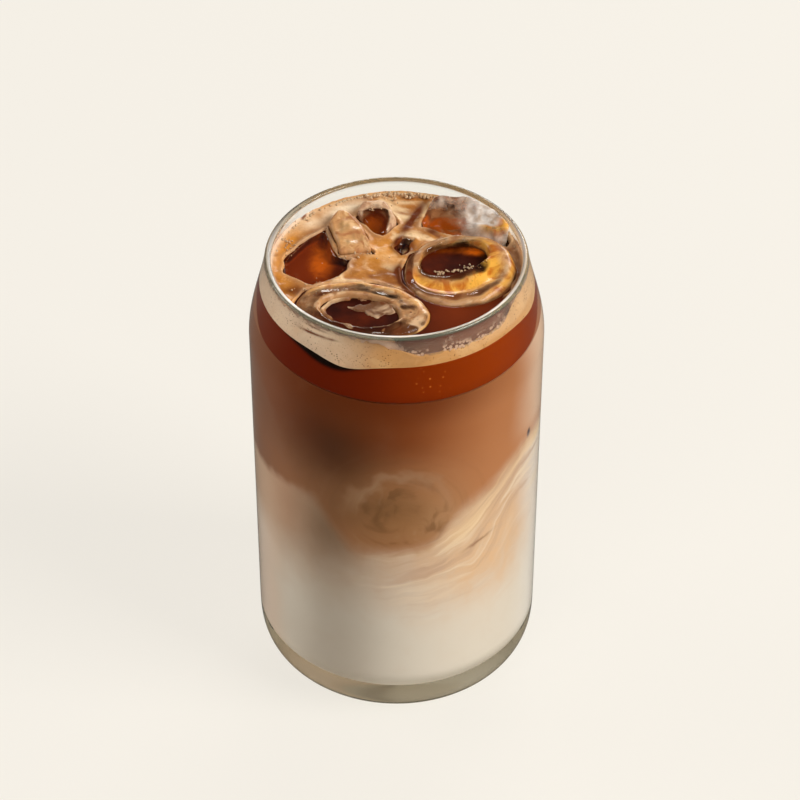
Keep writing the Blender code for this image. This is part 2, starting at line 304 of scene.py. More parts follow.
def new_body(name, corners, faces):
    """A smooth mesh and its object, put in the scene."""
    mesh = bpy.data.meshes.new(name)
    mesh.from_pydata(corners.tolist(), [], faces)
    mesh.shade_smooth()
    body = bpy.data.objects.new(name, mesh)
    bpy.context.scene.collection.objects.link(body)
    return body


def skin(name, points, ring=False):
    """A closed surface on a grid of points, rows by columns.

    Columns always join up. Rows join up too on a ring; otherwise the first and last row are
    poles, each drawn together into its mean point.
    """
    rows, columns = points.shape[:2]
    index = np.arange(rows * columns).reshape(rows, columns)
    if ring:
        corners = points.reshape(-1, 3)
        faces = quads_of(np.vstack([index, index[:1]])).tolist()
    else:
        poles = points[[0, -1]].mean(axis=1)
        corners = np.vstack([points[1:-1].reshape(-1, 3), poles])
        index = index[: rows - 2]
        caps = caps_of(index, len(corners) - 2, len(corners) - 1)
        faces = quads_of(index).tolist() + caps.tolist()
    body = new_body(name, corners, faces)
    body.data.set_sharp_from_angle(angle=SHARP_FROM)
    return body


def glass_profile():
    """From the middle of the floor up the inside, over the half-round lip, down to the punt."""
    floor_radii = np.linspace(0.0, FLOOR_RADIUS, 8)
    inside = np.concatenate([
        FLOOR_HEIGHT + CORNER_HEIGHT * np.linspace(0.0, 1.0, 22)[1:] ** 1.6,
        np.linspace(FLOOR_HEIGHT + CORNER_HEIGHT, LIP_CENTRE - SHOULDER_HEIGHT, 10)[1:],
        np.linspace(LIP_CENTRE - SHOULDER_HEIGHT, LIP_CENTRE, 32)[1:-1],
    ])
    lip = np.linspace(math.pi, 0.0, 17)
    lip_middle = RIM_RADIUS - RIM_WALL / 2
    outside = np.concatenate([
        np.linspace(LIP_CENTRE, LIP_CENTRE - SHOULDER_HEIGHT, 32)[1:],
        np.linspace(LIP_CENTRE - SHOULDER_HEIGHT, HEEL_HEIGHT, 10)[1:],
        HEEL_HEIGHT * np.linspace(1.0, 0.0, 40)[1:] ** 1.7,
    ])
    foot_inside = FOOT_RADIUS - FOOT_RING_WIDTH
    foot = np.array([
        (FOOT_RADIUS - FOOT_ROUNDING, 0.0),
        (foot_inside, 0.0),
        (foot_inside - PUNT_EDGE[0], PUNT_EDGE[1]),
        (foot_inside * PUNT_SHARE, PUNT_DEPTH),
        (foot_inside * 0.5, PUNT_DEPTH),
        (0.0, PUNT_DEPTH),
    ])
    radii = np.concatenate([
        floor_radii,
        inner_radius(inside),
        lip_middle + RIM_WALL / 2 * np.cos(lip),
        outer_radius(outside),
        foot[:, 0],
    ])
    heights = np.concatenate([
        np.full(len(floor_radii), FLOOR_HEIGHT),
        inside,
        LIP_CENTRE + RIM_WALL / 2 * np.sin(lip),
        outside,
        foot[:, 1],
    ])
    return radii, heights


def srgb(red, green, blue):
    """A colour given as it shows on a screen, 0 to 255, in the linear light that shaders use."""
    shown = np.array([red, green, blue]) / 255.0
    linear = np.where(shown <= 0.04045, shown / 12.92, ((shown + 0.055) / 1.055) ** 2.4)
    return (*linear.tolist(), 1.0)


def blend(share, first, second):
    """Mixes two colours by a share that changes over the surface."""
    tree = share.socket.id_data
    node = put(tree, "ShaderNodeMix", {0: share, 6: first, 7: second}, data_type="RGBA")
    return node.outputs[2]


def noise(place, scale, detail=3.0, roughness=0.5, distortion=0.0):
    """Fractal noise about 0, from -0.5 to 0.5, at a scale in waves a metre."""
    node = put(place.id_data, "ShaderNodeTexNoise", {
        "Vector": place,
        "Scale": scale,
        "Detail": detail,
        "Roughness": roughness,
        "Distortion": distortion,
    })
    return Field(node.outputs["Fac"]) - 0.5


def cell_distance(place, scale):
    """Distance from the nearest of many scattered points, in parts of their mean spacing."""
    node = put(place.id_data, "ShaderNodeTexVoronoi", {"Vector": place, "Scale": scale})
    return Field(node.outputs["Distance"])


def bumps(tree, height, strength, distance):
    """A normal that leans as a field of heights does, where 1 is that distance in metres."""
    node = put(tree, "ShaderNodeBump", {
        "Height": height,
        "Strength": strength,
        "Distance": distance,
    })
    return node.outputs[0]


def object_place(tree):
    """Object coordinates, in metres from the middle of the foot."""
    return put(tree, "ShaderNodeTexCoord").outputs["Object"]


def let_light_in(tree, shader):
    """Lets lamps and scattered light pass straight through a clear shader to what it holds."""
    path = put(tree, "ShaderNodeLightPath")
    passing = Field(path.outputs["Is Shadow Ray"]).most(Field(path.outputs["Is Diffuse Ray"]))
    clear = put(tree, "ShaderNodeBsdfTransparent", {"Color": (0.97, 0.98, 0.96, 1.0)})
    return put(tree, "ShaderNodeMixShader", {
        0: passing,
        1: shader.outputs["BSDF"],
        2: clear.outputs["BSDF"],
    }).outputs[0]


def rise(value, low, high):
    """Smooth step from 0 at low to 1 at high, over a whole array."""
    share = np.clip((value - low) / (high - low), 0.0, 1.0)
    return share * share * (3.0 - 2.0 * share)


def store(body, **shares):
    """Stores numbers for every point of a mesh, as point attributes of those names."""
    for name, values in shares.items():
        layer = body.data.attributes.new(name, "FLOAT", "POINT")
        layer.data.foreach_set("value", np.ravel(values).astype(np.float32))


def store_rows(body, **shares):
    """Stores numbers given in rows for a surface with poles. The mesh has the two poles last."""
    for name, values in shares.items():
        poles = [values[0].mean(), values[-1].mean()]
        store(body, **{name: np.concatenate([values[1:-1].reshape(-1), poles])})


def share_of(tree, name):
    """The stored number of that name, in a material."""
    node = put(tree, "ShaderNodeAttribute", attribute_name=name, attribute_type="GEOMETRY")
    return Field(node.outputs["Fac"])


def finish_piece(body, material, slot, *nodes):
    """Gives a piece its material, stands it for its CAD nodes and fixes it to the body."""
    body.data.materials.append(material)
    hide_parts(*nodes)
    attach(body, "root")


glass_material, tree, shader = new_material("clear_soda_glass")
place = object_place(tree)
set_finish(shader, Base_Color=(0.97, 0.98, 0.965, 1.0), Transmission_Weight=1.0, IOR=1.5)
set_finish(shader, Specular_Tint=(0.15, 0.15, 0.15, 1.0))
feed(shader.inputs["Roughness"], noise(place, 90.0, 2.0).step(-0.1, 0.4, 0.0, 0.03))
feed(shader.inputs["Normal"], bumps(tree, noise(place, 55.0, 1.0), 0.08, 0.0006))

# On the glass: a film of foam with pale flecks inside the front, partly a painted sheen at the
# front right, and a lip with painted shade and a painted highlight
residue = put(tree, "ShaderNodeBsdfPrincipled")
lip = share_of(tree, "lip")
gleam = share_of(tree, "gleam")
coated = share_of(tree, "residue")
scum = noise(place, 560.0, 4.0, 0.65)
smear = noise(place, 170.0, 3.0, 0.5)
dots = cell_distance(place, 950.0).step(0.56, 0.38) * smear.step(-0.34, -0.10)
flecks = dots * share_of(tree, "flecked")
stain = blend(coated.step(0.2, 0.5).most(flecks), srgb(146, 118, 106), srgb(202, 166, 142))
# The lip's colour: painted shade, dark grey-green for the dark surroundings seen in the rim, and a
# painted highlight along its inner top
painted_lip_light = blend(gleam, srgb(92, 102, 86), srgb(250, 246, 240))
feed(residue.inputs["Base Color"], blend(lip.step(0.1, 0.5), stain, painted_lip_light))
set_finish(residue, Roughness=0.2, Specular_IOR_Level=0.5)
clinging = (coated + scum * 1.1 + smear * 0.6 - 0.5).step(-0.12, 0.14)
clinging = coated.step(0.0, 0.2) * (clinging * 0.35 + coated * 0.75)
surface = put(tree, "ShaderNodeMixShader", {
    0: clinging.most(lip * 0.74).most(gleam * 0.85).most(flecks * 0.85),
    1: let_light_in(tree, shader),
    2: residue.outputs["BSDF"],
})
tint = put(tree, "ShaderNodeVolumeAbsorption", {
    "Color": (0.54, 0.47, 0.25, 1.0),
    "Density": 17.0,
})
output = tree.nodes["Material Output"]
feed(output.inputs["Surface"], surface.outputs[0])
feed(output.inputs["Volume"], tint.outputs[0])

radii, heights = (values[:, None] for values in glass_profile())
turns = full_turn(GLASS_COLUMNS)
glass = skin("tumbler_glass", around(radii, turns, heights))
front_turn = from_front(turns)
facing = 0.7 + 0.3 * rise(-np.sin(turns), -0.3, 0.6)
on_inside = (radii < outer_radius(heights) - 0.6 * RIM_WALL) & (heights > INSIDE_FROM)
lip_inside = (radii < RIM_RADIUS - 0.32 * RIM_WALL) & (heights > LIP_CENTRE)
# Painted highlight along the inner top of the lip, fading towards the back
gleam = rise(heights, *PAINTED_GLEAM_BAND) * lip_inside * rise(abs(front_turn), 150.0, 70.0)
left_film = rise(front_turn, 6.0, -6.0) * rise(front_turn, -135.0, -95.0)
right_film = rise(front_turn, 56.0, 66.0) * rise(front_turn, 118.0, 95.0)
# Partly real foam film, partly a painted sheen: a pale veil on the glass over the dark pool at the
# front right
front_film_and_sheen = rise(front_turn, -4.0, 8.0) * rise(front_turn, 66.0, 54.0)
film = (0.85 * left_film + 0.65 * right_film + 0.38 * front_film_and_sheen) * on_inside
flecked = rise(front_turn, -12.0, 4.0) * rise(front_turn, 90.0, 66.0) * on_inside
store_rows(
    glass,
    # Painted shade on the lip, strongest at the front
    lip=rise(heights, *LIP_BAND) * facing,
    gleam=gleam * (0.75 + 0.25 * np.sin(turns * 7.0)),
    residue=film * rise(heights, *FILM_TOP) * rise(heights, *FILM_FOOT),
    flecked=flecked * rise(heights, *FLECKS_TOP) * rise(heights, *FLECKS_FOOT),
)
finish_piece(glass, glass_material, "glass", "glass")


# Milk and milk coffee
# Cold milk stands in the bottom with milk coffee over it. Where they meet they have run into
# each other in a soft swirl and pale streaks, so one pattern paints both.

REACH = 0.00015
MILK_LEVEL = 0.0745
SWIRL_DIP = 0.0110
SWIRL_WIDTH = math.radians(32)
RIGHT_RISE = 0.0105
RIGHT_TURN = math.radians(60)
RIGHT_WIDTH = math.radians(24)
COFFEE_BASE = 0.1142
COFFEE_TILT = 0.0026
COFFEE_TURN = math.radians(15)
DRINK_COLUMNS = 192
MILLIMETRES = 1000.0


def bell(value, middle, width):
    """1 at the middle, falling off as a bell curve of that width, over a whole array."""
    return np.exp(-((value - middle) / width) ** 2)


def milk_level(x, y):
    """Top of the milk: it dips under the swirl in front and climbs the wall on the right."""
    reach = np.clip(np.hypot(x, y) / SIDE_RADIUS, 0.0, 1.0) ** 2
    turn = np.arctan2(x, -y)
    dip = SWIRL_DIP * bell(turn, 0.0, SWIRL_WIDTH)
    climb = RIGHT_RISE * bell(turn, RIGHT_TURN, RIGHT_WIDTH)
    return MILK_LEVEL + reach * (climb - dip)


def coffee_base(x, y):
    """Underside of the dark coffee: lowest at the front right."""
    reach = np.clip(np.hypot(x, y) / SIDE_RADIUS, 0.0, 1.0)
    turn = np.arctan2(x, -y)
    return COFFEE_BASE + COFFEE_TILT * (1 - reach * np.cos(turn - COFFEE_TURN))


def drink_layer(name, low, high, wall_rows):
    """A slab of drink between two levels that reaches just into the glass.

    Rows run out over the top, down the wall and in under the bottom. Each point has a share
    of the radius and a share of the height, and the radius follows the glass at its height.
    """
    turns = full_turn(DRINK_COLUMNS)
    out = np.linspace(0.0, 1.0, 10)
    down = np.linspace(1.0, 0.0, wall_rows)[1:-1] ** 1.4
    share = np.concatenate([out, np.ones(wall_rows - 2), out[::-1]])[:, None]
    level = np.concatenate([np.ones(10), down, np.zeros(10)])[:, None]
    x = share * SIDE_RADIUS * np.cos(turns)
    y = share * SIDE_RADIUS * np.sin(turns)
    heights = low(x, y) + (high(x, y) - low(x, y)) * level
    return skin(name, around(share * (inner_radius(heights) + REACH), turns, heights))


def round_glass(tree, place):
    """What a place is to the glass: degrees from the front, height in mm, whether it is at the
    front (1) or the back (0), metres across and metres back."""
    parts = put(tree, "ShaderNodeSeparateXYZ", {0: place})
    across, back, up = (Field(parts.outputs[axis]) for axis in range(3))
    turn = across.combine("ARCTAN2", back * -1.0) * math.degrees(1.0)
    away = (across * across + back * back + 1e-8).combine("SQRT")
    return turn, up * MILLIMETRES, (back / away).step(0.9, 0.15), across, back


def place_of(x, y, z):
    """Three fields taken as a place, for noise that is drawn out along them."""
    return put(x.socket.id_data, "ShaderNodeCombineXYZ", {0: x, 1: y, 2: z}).outputs[0]


def paint_milk(turn, height, front, fine):
    """Milk: white low down, stained pink and brown by coffee higher up.

    Painted shade darkens a band down the front left and the milk by the milk coffee there;
    painted light pales the left edge and makes the right edge near white.
    """
    stain = height.step(34.0, 72.0) + fine * 0.35
    milk = blend(stain, srgb(224, 214, 203), srgb(202, 168, 142))
    veil = turn.hump(40.0, 30.0) * height.hump(57.0, 17.0) * (fine * 1.6 + 0.8)
    milk = blend(veil, milk, srgb(226, 186, 148))
    left = turn.step(-20.0, -52.0) * height.step(42.0, 74.0) * front * 0.65
    milk = blend(left, milk, srgb(188, 144, 118))
    # Painted shade: a darker band down the front left
    milk = blend(turn.hump(-27.0, 20.0) * 0.40, milk, srgb(124, 104, 84))
    # Painted light: the left edge paler, and paler still low down
    milk = blend(turn.step(-48.0, -72.0) * front * 0.7, milk, srgb(222, 190, 166))
    lit_left_edge = turn.step(-54.0, -74.0) * height.step(64.0, 48.0) * front
    milk = blend(lit_left_edge, milk, srgb(240, 220, 206))
    # Painted shade where the milk meets the milk coffee at the front left
    brown = turn.hump(-25.0, 16.0) * height.hump(68.0, 13.0) * 0.7
    milk = blend(brown, milk, srgb(112, 84, 62))
    # Painted light: the right edge near white
    return blend(turn.step(52.0, 76.0) * front * 0.7, milk, srgb(242, 236, 232))


def paint_streaks(milk, above, turn, front):
    """Streaks in the milk along a curve, and a crest of cream on it. above is mm over it."""
    strata = noise(place_of(above * 0.34, turn * 0.026, 4.0), 1.0, 2.6, 0.55, 0.9)
    zone = above.hump(-8.0, 10.0) * turn.step(-22.0, 18.0) * front
    milk = blend(zone * strata.step(0.0, 0.2) * 0.6, milk, srgb(190, 154, 132))
    milk = blend(zone * strata.step(-0.02, -0.2) * 0.65, milk, srgb(238, 218, 194))
    cream = above.hump(-2.2, 3.2) * turn.step(8.0, 36.0) * front
    return blend(cream * (strata * -2.0 + 0.55), milk, srgb(238, 206, 166))


def paint_latte(turn, height, still_height, front, behind, soft):
    """Milk coffee: darkest at the front left, paler to the sides and down towards the milk.

    A painted shade lies on it by the milk at the front left, and a painted pale haze along the
    right edge.
    """
    latte = blend(height.step(82.0, 104.0), srgb(170, 118, 84), srgb(128, 64, 28))
    latte = blend(turn.step(-30.0, -74.0) * front * 0.8, latte, srgb(146, 97, 72))
    latte = blend(turn.step(0.0, 52.0) * front * 0.85, latte, srgb(184, 122, 80))
    # Painted light: a pale haze along the right edge, higher up
    edge_light_haze = turn.step(50.0, 76.0) * height.step(82.0, 92.0) * front
    latte = blend(edge_light_haze * 0.85, latte, srgb(222, 190, 166))
    latte = blend(behind * 0.7, latte, srgb(158, 100, 64))
    gloom = turn.hump(-26.0, 25.0) * height.hump(95.0, 17.0)
    latte = blend(gloom * 0.9, latte, srgb(72, 38, 20))
    under_coffee = still_height.step(104.0, 115.0) * turn.hump(0.0, 50.0) * 0.65
    latte = blend(under_coffee, latte, srgb(90, 36, 10))
    light_side = turn.hump(15.0, 12.0) * height.hump(75.0, 7.0) * 0.45
    latte = blend(light_side, latte, srgb(208, 172, 136))
    # Painted shade by the milk at the front left
    painted_shade = turn.hump(-20.0, 20.0) * height.hump(75.0, 10.0) * 0.55
    latte = blend(painted_shade, latte, srgb(98, 66, 44))
    smoke = soft.step(-0.02, 0.16) * turn.step(20.0, -40.0) * front * 0.35
    return blend(smoke, latte, srgb(140, 104, 84))


def paint_swirl(latte, turn, height, soft, fine):
    """A swirl in the milk coffee: wisps drawn out round a point, with a pale arch over them.

    The wisps are noise on the distance from the point and on the direction, which winds on as
    the distance grows.
    """
    across = (turn - 2.0) * 0.62
    upwards = height - 76.0
    away = (across * across + upwards * upwards).combine("SQRT") + 0.01
    spin = upwards.combine("ARCTAN2", across) + away * 0.07 + soft * 2.4
    wisp_place = place_of(spin.combine("COSINE") * 0.62, spin.combine("SINE") * 0.62, away * 0.15)
    wisps = noise(wisp_place, 1.0, 3.0, 0.5, 1.0)
    pocket = across.hump(0.0, 15.0) * upwards.hump(0.0, 14.0)
    latte = blend(pocket * 0.75, latte, srgb(156, 110, 70))
    drawn = pocket * away.step(1.0, 9.0)
    latte = blend(drawn * wisps.step(0.02, 0.2) * 0.5, latte, srgb(180, 142, 108))
    latte = blend(drawn * wisps.step(-0.02, -0.18) * 0.75, latte, srgb(104, 70, 42))
    blot = (across + 3.0).hump(0.0, 7.0) * (upwards - 4.0).hump(0.0, 5.0)
    latte = blend(blot * (fine + 0.5), latte, srgb(98, 68, 42))
    arch = (away - 14.0 + soft * 16.0).hump(0.0, 1.3) * upwards.step(-4.0, 8.0)
    return blend(arch * turn.hump(-2.0, 26.0) * 0.45, latte, srgb(172, 136, 108))


def drink_pattern():
    """A node group that paints milk and milk coffee by turn from the front and by height.

    The level between them dips in a pocket at the front. Streaks follow a curve that climbs
    to the right, and a spiral turns in the pocket. Soft noise bends nearly all of it, but a
    brown thread in the milk and a dark speck in the milk coffee stay where they are.
    """
    tree = bpy.data.node_groups.new("drink_pattern", "ShaderNodeTree")
    tree.interface.new_socket("Place", in_out="INPUT", socket_type="NodeSocketVector")
    tree.interface.new_socket("Color", in_out="OUTPUT", socket_type="NodeSocketColor")
    place = put(tree, "NodeGroupInput").outputs["Place"]
    still_turn, still_height, front, _, _ = round_glass(tree, place)
    behind = front * -1.0 + 1.0
    soft = noise(place, 42.0, 4.0, 0.55)
    fine = noise(place, 150.0, 5.0, 0.6, 0.6)
    turn = still_turn + noise(place, 33.0, 3.0) * 16.0
    height = still_height + soft * 9.0

    climb = turn.step(-12.0, 62.0) * height.step(36.0, 78.0) * front
    lift = turn.step(30.0, 58.0) * front * 5.0
    above = height - (climb * 17.0 + lift + 63.0)
    milk = paint_streaks(paint_milk(turn, height, front, fine), above, turn, front)
    thread_line = still_height - still_turn * 0.19 + fine * 3.0
    thread = thread_line.hump(55.6, 0.5) * still_turn.hump(35.0, 6.0)
    milk = blend(thread * 0.7, milk, srgb(140, 96, 66))

    latte = paint_latte(turn, height, still_height, front, behind, soft)
    speck = still_turn.hump(65.4, 1.7) * still_height.hump(87.0, 1.6) * 0.9
    latte = blend(speck.step(0.1, 0.8), latte, srgb(58, 46, 60))
    latte = paint_swirl(latte, turn, height, soft, fine)

    # The level between them, crisp on the left and soft in the pocket, which is flat below
    pocket_side = (turn + 3.5) / 25.5
    dip = (pocket_side * pocket_side).bell()
    over = height - (turn * front * 0.018 + lift + 78.5 - dip * 15.0) + fine * 2.4
    crisp = over.step(-1.8, 1.8)
    hazy = over.step(-4.0, 3.5)
    mask = crisp + (hazy - crisp) * turn.step(-50.0, -30.0).most(behind)
    result = put(tree, "NodeGroupOutput")
    feed(result.inputs["Color"], blend(mask, milk, latte))
    return tree


def drink_material(name, group):
    """An opaque, silky drink, painted by the shared pattern."""
    material, tree, shader = new_material(name)
    pattern = put(tree, "ShaderNodeGroup", node_tree=group)
    feed(pattern.inputs["Place"], object_place(tree))
    feed(shader.inputs["Base Color"], pattern.outputs["Color"])
    set_finish(shader, Roughness=0.6, IOR=1.34, Specular_IOR_Level=0.02)
    return material


pattern = drink_pattern()
milk = drink_layer("cold_milk", lambda x, y: FLOOR_HEIGHT - REACH + 0 * x, milk_level, 72)
finish_piece(milk, drink_material("cold_milk", pattern), "milk", "milk")
latte = drink_layer("milk_coffee", milk_level, coffee_base, 20)
finish_piece(latte, drink_material("milk_coffee", pattern), "latte", "latte")


# Dark coffee
# Strong coffee floats over the milk coffee and comes up to the surface in the open pool and in
# the rings. The ice sits in pockets of it, painted with an amber glow and milky light where
# light comes through; light and shade in the band are painted too.

FOAM_BASE = 0.1247
POOL_LEVEL = 0.1281
SURFACE_COLUMNS = 448
SURFACE_ROWS = 132
POCKET_DEPTH = 0.0030
EDGE_DROP = 0.0018
BASE_ROWS = 12
FOAM_LAP = 0.0005
SAG = 0.0016

# Plan of the surface: two melted rings and five blocks of ice, and an open pool. Foam lies
# between them, so coffee, foam and ice all follow these outlines.
FRONT_RING = {
    "centre": (-0.0083, -0.0166, 0.1294),
    "outer": (0.0172, 0.0109),
    "hole": (0.0096, 0.0055),
    "hole_shift": (-0.0008, -0.0010),
    "hole_turn": 0.0,
    "turn": math.radians(-13),
    "tilt": math.radians(2),
    "tilt_turn": math.radians(80),
}
RIGHT_RING = {
    "centre": (0.0157, -0.0015, 0.1300),
    "outer": (0.0144, 0.0137),
    "hole": (0.0084, 0.0056),
    "hole_shift": (-0.0012, 0.0051),
    "hole_turn": math.radians(17),
    "turn": math.radians(0),
    "tilt": math.radians(5.5),
    "tilt_turn": math.radians(20),
}
BLOCKS = {
    "ice_left": np.array([
        (-0.0212, -0.0070, 0.1283), (-0.0146, -0.0034, 0.1285), (-0.0116, 0.0038, 0.1286),
        (-0.0150, 0.0046, 0.1287), (-0.0183, 0.0162, 0.1290), (-0.0232, 0.0119, 0.1288),
        (-0.0287, 0.0036, 0.1285), (-0.0282, -0.0020, 0.1284),
    ]),
    "ice_wedge": np.array([
        (-0.0144, 0.0056, 0.1296), (-0.0064, 0.0066, 0.1298), (-0.0086, 0.0156, 0.1310),
        (-0.0122, 0.0208, 0.1313), (-0.0152, 0.0216, 0.1313), (-0.0174, 0.0172, 0.1310),
    ]),
    "ice_back": np.array([
        (-0.0036, 0.0134, 0.1290), (0.0004, 0.0186, 0.1298), (-0.0026, 0.0262, 0.1310),
        (-0.0088, 0.0260, 0.1310), (-0.0106, 0.0220, 0.1304), (-0.0069, 0.0164, 0.1292),
    ]),
    "ice_small": np.array([
        (0.0012, 0.0054, 0.1287), (0.0032, 0.0078, 0.1288), (0.0042, 0.0120, 0.1290),
        (0.0017, 0.0128, 0.1290), (-0.0002, 0.0087, 0.1288),
    ]),
    "ice_slab": np.array([
        (0.0060, 0.0172, 0.1296), (0.0160, 0.0134, 0.1304), (0.0280, 0.0092, 0.1334),
        (0.0292, 0.0112, 0.1344), (0.0258, 0.0172, 0.1350), (0.0182, 0.0246, 0.1328),
        (0.0094, 0.0276, 0.1318),
    ]),
}
POOL_CENTRE = (0.0130, -0.0172)
POOL_HALF = (0.0140, 0.0090)
POOL_TURN = math.radians(20)
# Painted amber glow, where light comes through the ice: in the left block, in the back block,
# twice in the right ring and in the slab
GLOW_PATCHES = [
    (0.80, -0.0186, 0.0060, 0.0034, 0.0085),
    (0.90, -0.0052, 0.0204, 0.0024, 0.0052),
    (0.75, 0.0200, 0.0074, 0.0030, 0.0019),
    (0.30, 0.0130, 0.0078, 0.0055, 0.0020),
    (1.30, 0.0125, 0.0206, 0.0060, 0.0018),
]
BACK_HEART = ((-0.0052, 0.0192), (0.0030, 0.0060), 0.0)
SOFT_EDGE = 0.0005


def rotate(x, y, angle):
    """A plan place turned anticlockwise about the middle."""
    return x * math.cos(angle) - y * math.sin(angle), x * math.sin(angle) + y * math.cos(angle)


def past_oval(x, y, centre, half, turn):
    """Distance outside an oval, negative inside: how far its scaled copy must grow to meet it."""
    across, along = rotate(x - centre[0], y - centre[1], -turn)
    size = np.hypot(across / half[0], along / half[1]) + 1e-6
    return np.hypot(across, along) * (1.0 - 1.0 / size)


def hole_centre(ring):
    """Plan centre of a ring's hole: its shift turned with the ring."""
    shift = rotate(*ring["hole_shift"], ring["turn"])
    return ring["centre"][0] + shift[0], ring["centre"][1] + shift[1]


def past_block(x, y, corners):
    """Distance outside a polygon, negative inside: the nearest of its edges, and a side count."""
    nearest = np.full(x.shape, 1.0)
    inside = np.zeros(x.shape, bool)
    for start, end in zip(corners[:, :2], np.roll(corners[:, :2], -1, axis=0)):
        edge = end - start
        share = ((x - start[0]) * edge[0] + (y - start[1]) * edge[1]) / (edge @ edge)
        share = np.clip(share, 0.0, 1.0)
        off_x = x - start[0] - share * edge[0]
        off_y = y - start[1] - share * edge[1]
        nearest = np.minimum(nearest, np.hypot(off_x, off_y))
        crosses = (start[1] > y) != (end[1] > y)
        level = np.where(abs(edge[1]) > 1e-9, edge[1], 1e-9)
        inside ^= crosses & (x < start[0] + (y - start[1]) * edge[0] / level)
    return np.where(inside, -nearest, nearest)


def ripples(points, length, seed, waves=20):
    """Smooth noise about 0: a sum of plane waves of about one length in seeded directions."""
    random = np.random.default_rng(seed)
    directions = random.normal(size=(waves, 3))
    directions /= np.linalg.norm(directions, axis=1)[:, None]
    counts = math.tau / (length * random.uniform(0.7, 1.5, waves))
    phases = random.uniform(0.0, math.tau, waves)
    total = np.zeros(points.shape[:-1])
    for direction, count, phase in zip(directions, counts, phases):
        total += np.sin(points @ direction * count + phase)
    return total / math.sqrt(waves)


def surface_grid():
    """Plan places of the drink's surface: rows from the middle out to the wall, closer there."""
    turns = full_turn(SURFACE_COLUMNS)
    share = np.linspace(0.0, 1.0, SURFACE_ROWS)
    share = 1.0 - (1.0 - share) * (0.62 + 0.38 * (1.0 - share))
    share = share / share[-1]
    share[0] = 0.0
    return turns, share[:, None]


def foam_base(x, y):
    """Underside of the foam: it hangs lower at the front left and at the far right."""
    front = np.degrees(np.arctan2(x, -y))
    near = rise(np.hypot(x, y), 0.020, 0.032)
    sag = SAG * bell(front, -22.0, 12.0) + SAG * bell(front, 78.0, 15.0)
    return FOAM_BASE - FOAM_LAP - near * sag


def ice_depth(x, y):
    """Distance inside the nearest ice outline, positive under the ice."""
    depth = np.full(x.shape, -1.0)
    for ring in (FRONT_RING, RIGHT_RING):
        outside = past_oval(x, y, ring["centre"], ring["outer"], ring["turn"])
        inside = past_oval(x, y, hole_centre(ring), ring["hole"], ring["turn"] + ring["hole_turn"])
        depth = np.maximum(depth, np.minimum(-outside, inside))
    for corners in BLOCKS.values():
        depth = np.maximum(depth, -past_block(x, y, corners))
    return depth


def slab_rows(turns, share, top, base, wall_rows):
    """Closes a surface down the wall and in under a base, as one grid of points.

    top is the height at each grid point, base the height under it. The wall follows the glass.
    """
    surface = around(share * (inner_radius(top) + REACH), turns, top)
    down = np.linspace(1.0, 0.0, wall_rows)[1:, None]
    heights = base[-1] + (top[-1] - base[-1]) * down
    wall = around(inner_radius(heights) + REACH, turns, heights)
    inwards = np.linspace(1.0, 0.0, BASE_ROWS)[1:, None]
    under = around(inwards * (inner_radius(base[-1]) + REACH), turns, base[-1])
    return np.concatenate([surface, wall, under])


def store_surface(body, rows, **shares):
    """Stores numbers given for the surface alone, carried on down the wall and under the base."""
    for name, values in shares.items():
        beyond = np.repeat(values[-1:], rows - len(values), axis=0)
        store_rows(body, **{name: np.concatenate([values, beyond])})


def spot(x, y, middle_x, middle_y, half_x, half_y):
    """1 at a plan place, falling off as a bell curve of its own width each way."""
    return np.exp(-(((x - middle_x) / half_x) ** 2 + ((y - middle_y) / half_y) ** 2))


def patches(x, y, rows):
    """Spots added up. Each row: strength, middle across and back, half width across and back."""
    return sum(strength * spot(x, y, *place) for strength, *place in rows)


turns, share = surface_grid()
plan_radii = share * inner_radius(POOL_LEVEL)
x = plan_radii * np.cos(turns)
y = plan_radii * np.sin(turns)
depth = ice_depth(x, y)
pocket = rise(depth, 0.0002, 0.0014)
wall_gap = inner_radius(POOL_LEVEL) - plan_radii
near_wall = 1.0 - rise(wall_gap, 0.0, EDGE_DROP)
top = POOL_LEVEL - POCKET_DEPTH * pocket
top = top + (foam_base(x, y) - top) * near_wall
base = coffee_base(x, y)
coffee_points = slab_rows(turns, share, top, base, 16)
coffee = skin("strong_coffee", coffee_points)

# Milky light under the ice, but not under the dark blocks, the back one's heart and the front
milky = pocket * (1.0 - rise(-past_oval(x, y, *BACK_HEART), -0.0006, 0.0006))
for name in ("ice_left", "ice_small"):
    milky *= 1.0 - rise(-past_block(x, y, BLOCKS[name]), -SOFT_EDGE, SOFT_EDGE)
milky *= 1.0 - 0.8 * rise(y, -0.0195, -0.0235)
milky *= 1.0 - 0.3 * spot(x, y, 0.0222, -0.0036, 0.0028, 0.0016)
milky *= 1.0 - 0.8 * rise(x, 0.0048, 0.0030) * rise(y, -0.012, -0.010) * rise(y, 0.003, 0.001)
store_surface(coffee, len(coffee_points), window=patches(x, y, GLOW_PATCHES), milky=milky)

coffee_material, tree, shader = new_material("strong_coffee")
place = object_place(tree)
turn, height, front, across, back = round_glass(tree, place)
cloud = noise(place, 70.0, 4.0, 0.55)
side = turn * front + cloud * 24.0
# Painted light: the band near black at the front left, glowing orange to the right and reddish at
# the left end, where light comes through the coffee
band = blend(side.step(-30.0, 50.0), srgb(104, 26, 1), srgb(138, 50, 2))
band = blend(side.step(-40.0, -80.0) * 0.8, band, srgb(120, 44, 6))
band = blend(side.step(46.0, 80.0) * 0.8, band, srgb(118, 42, 2))
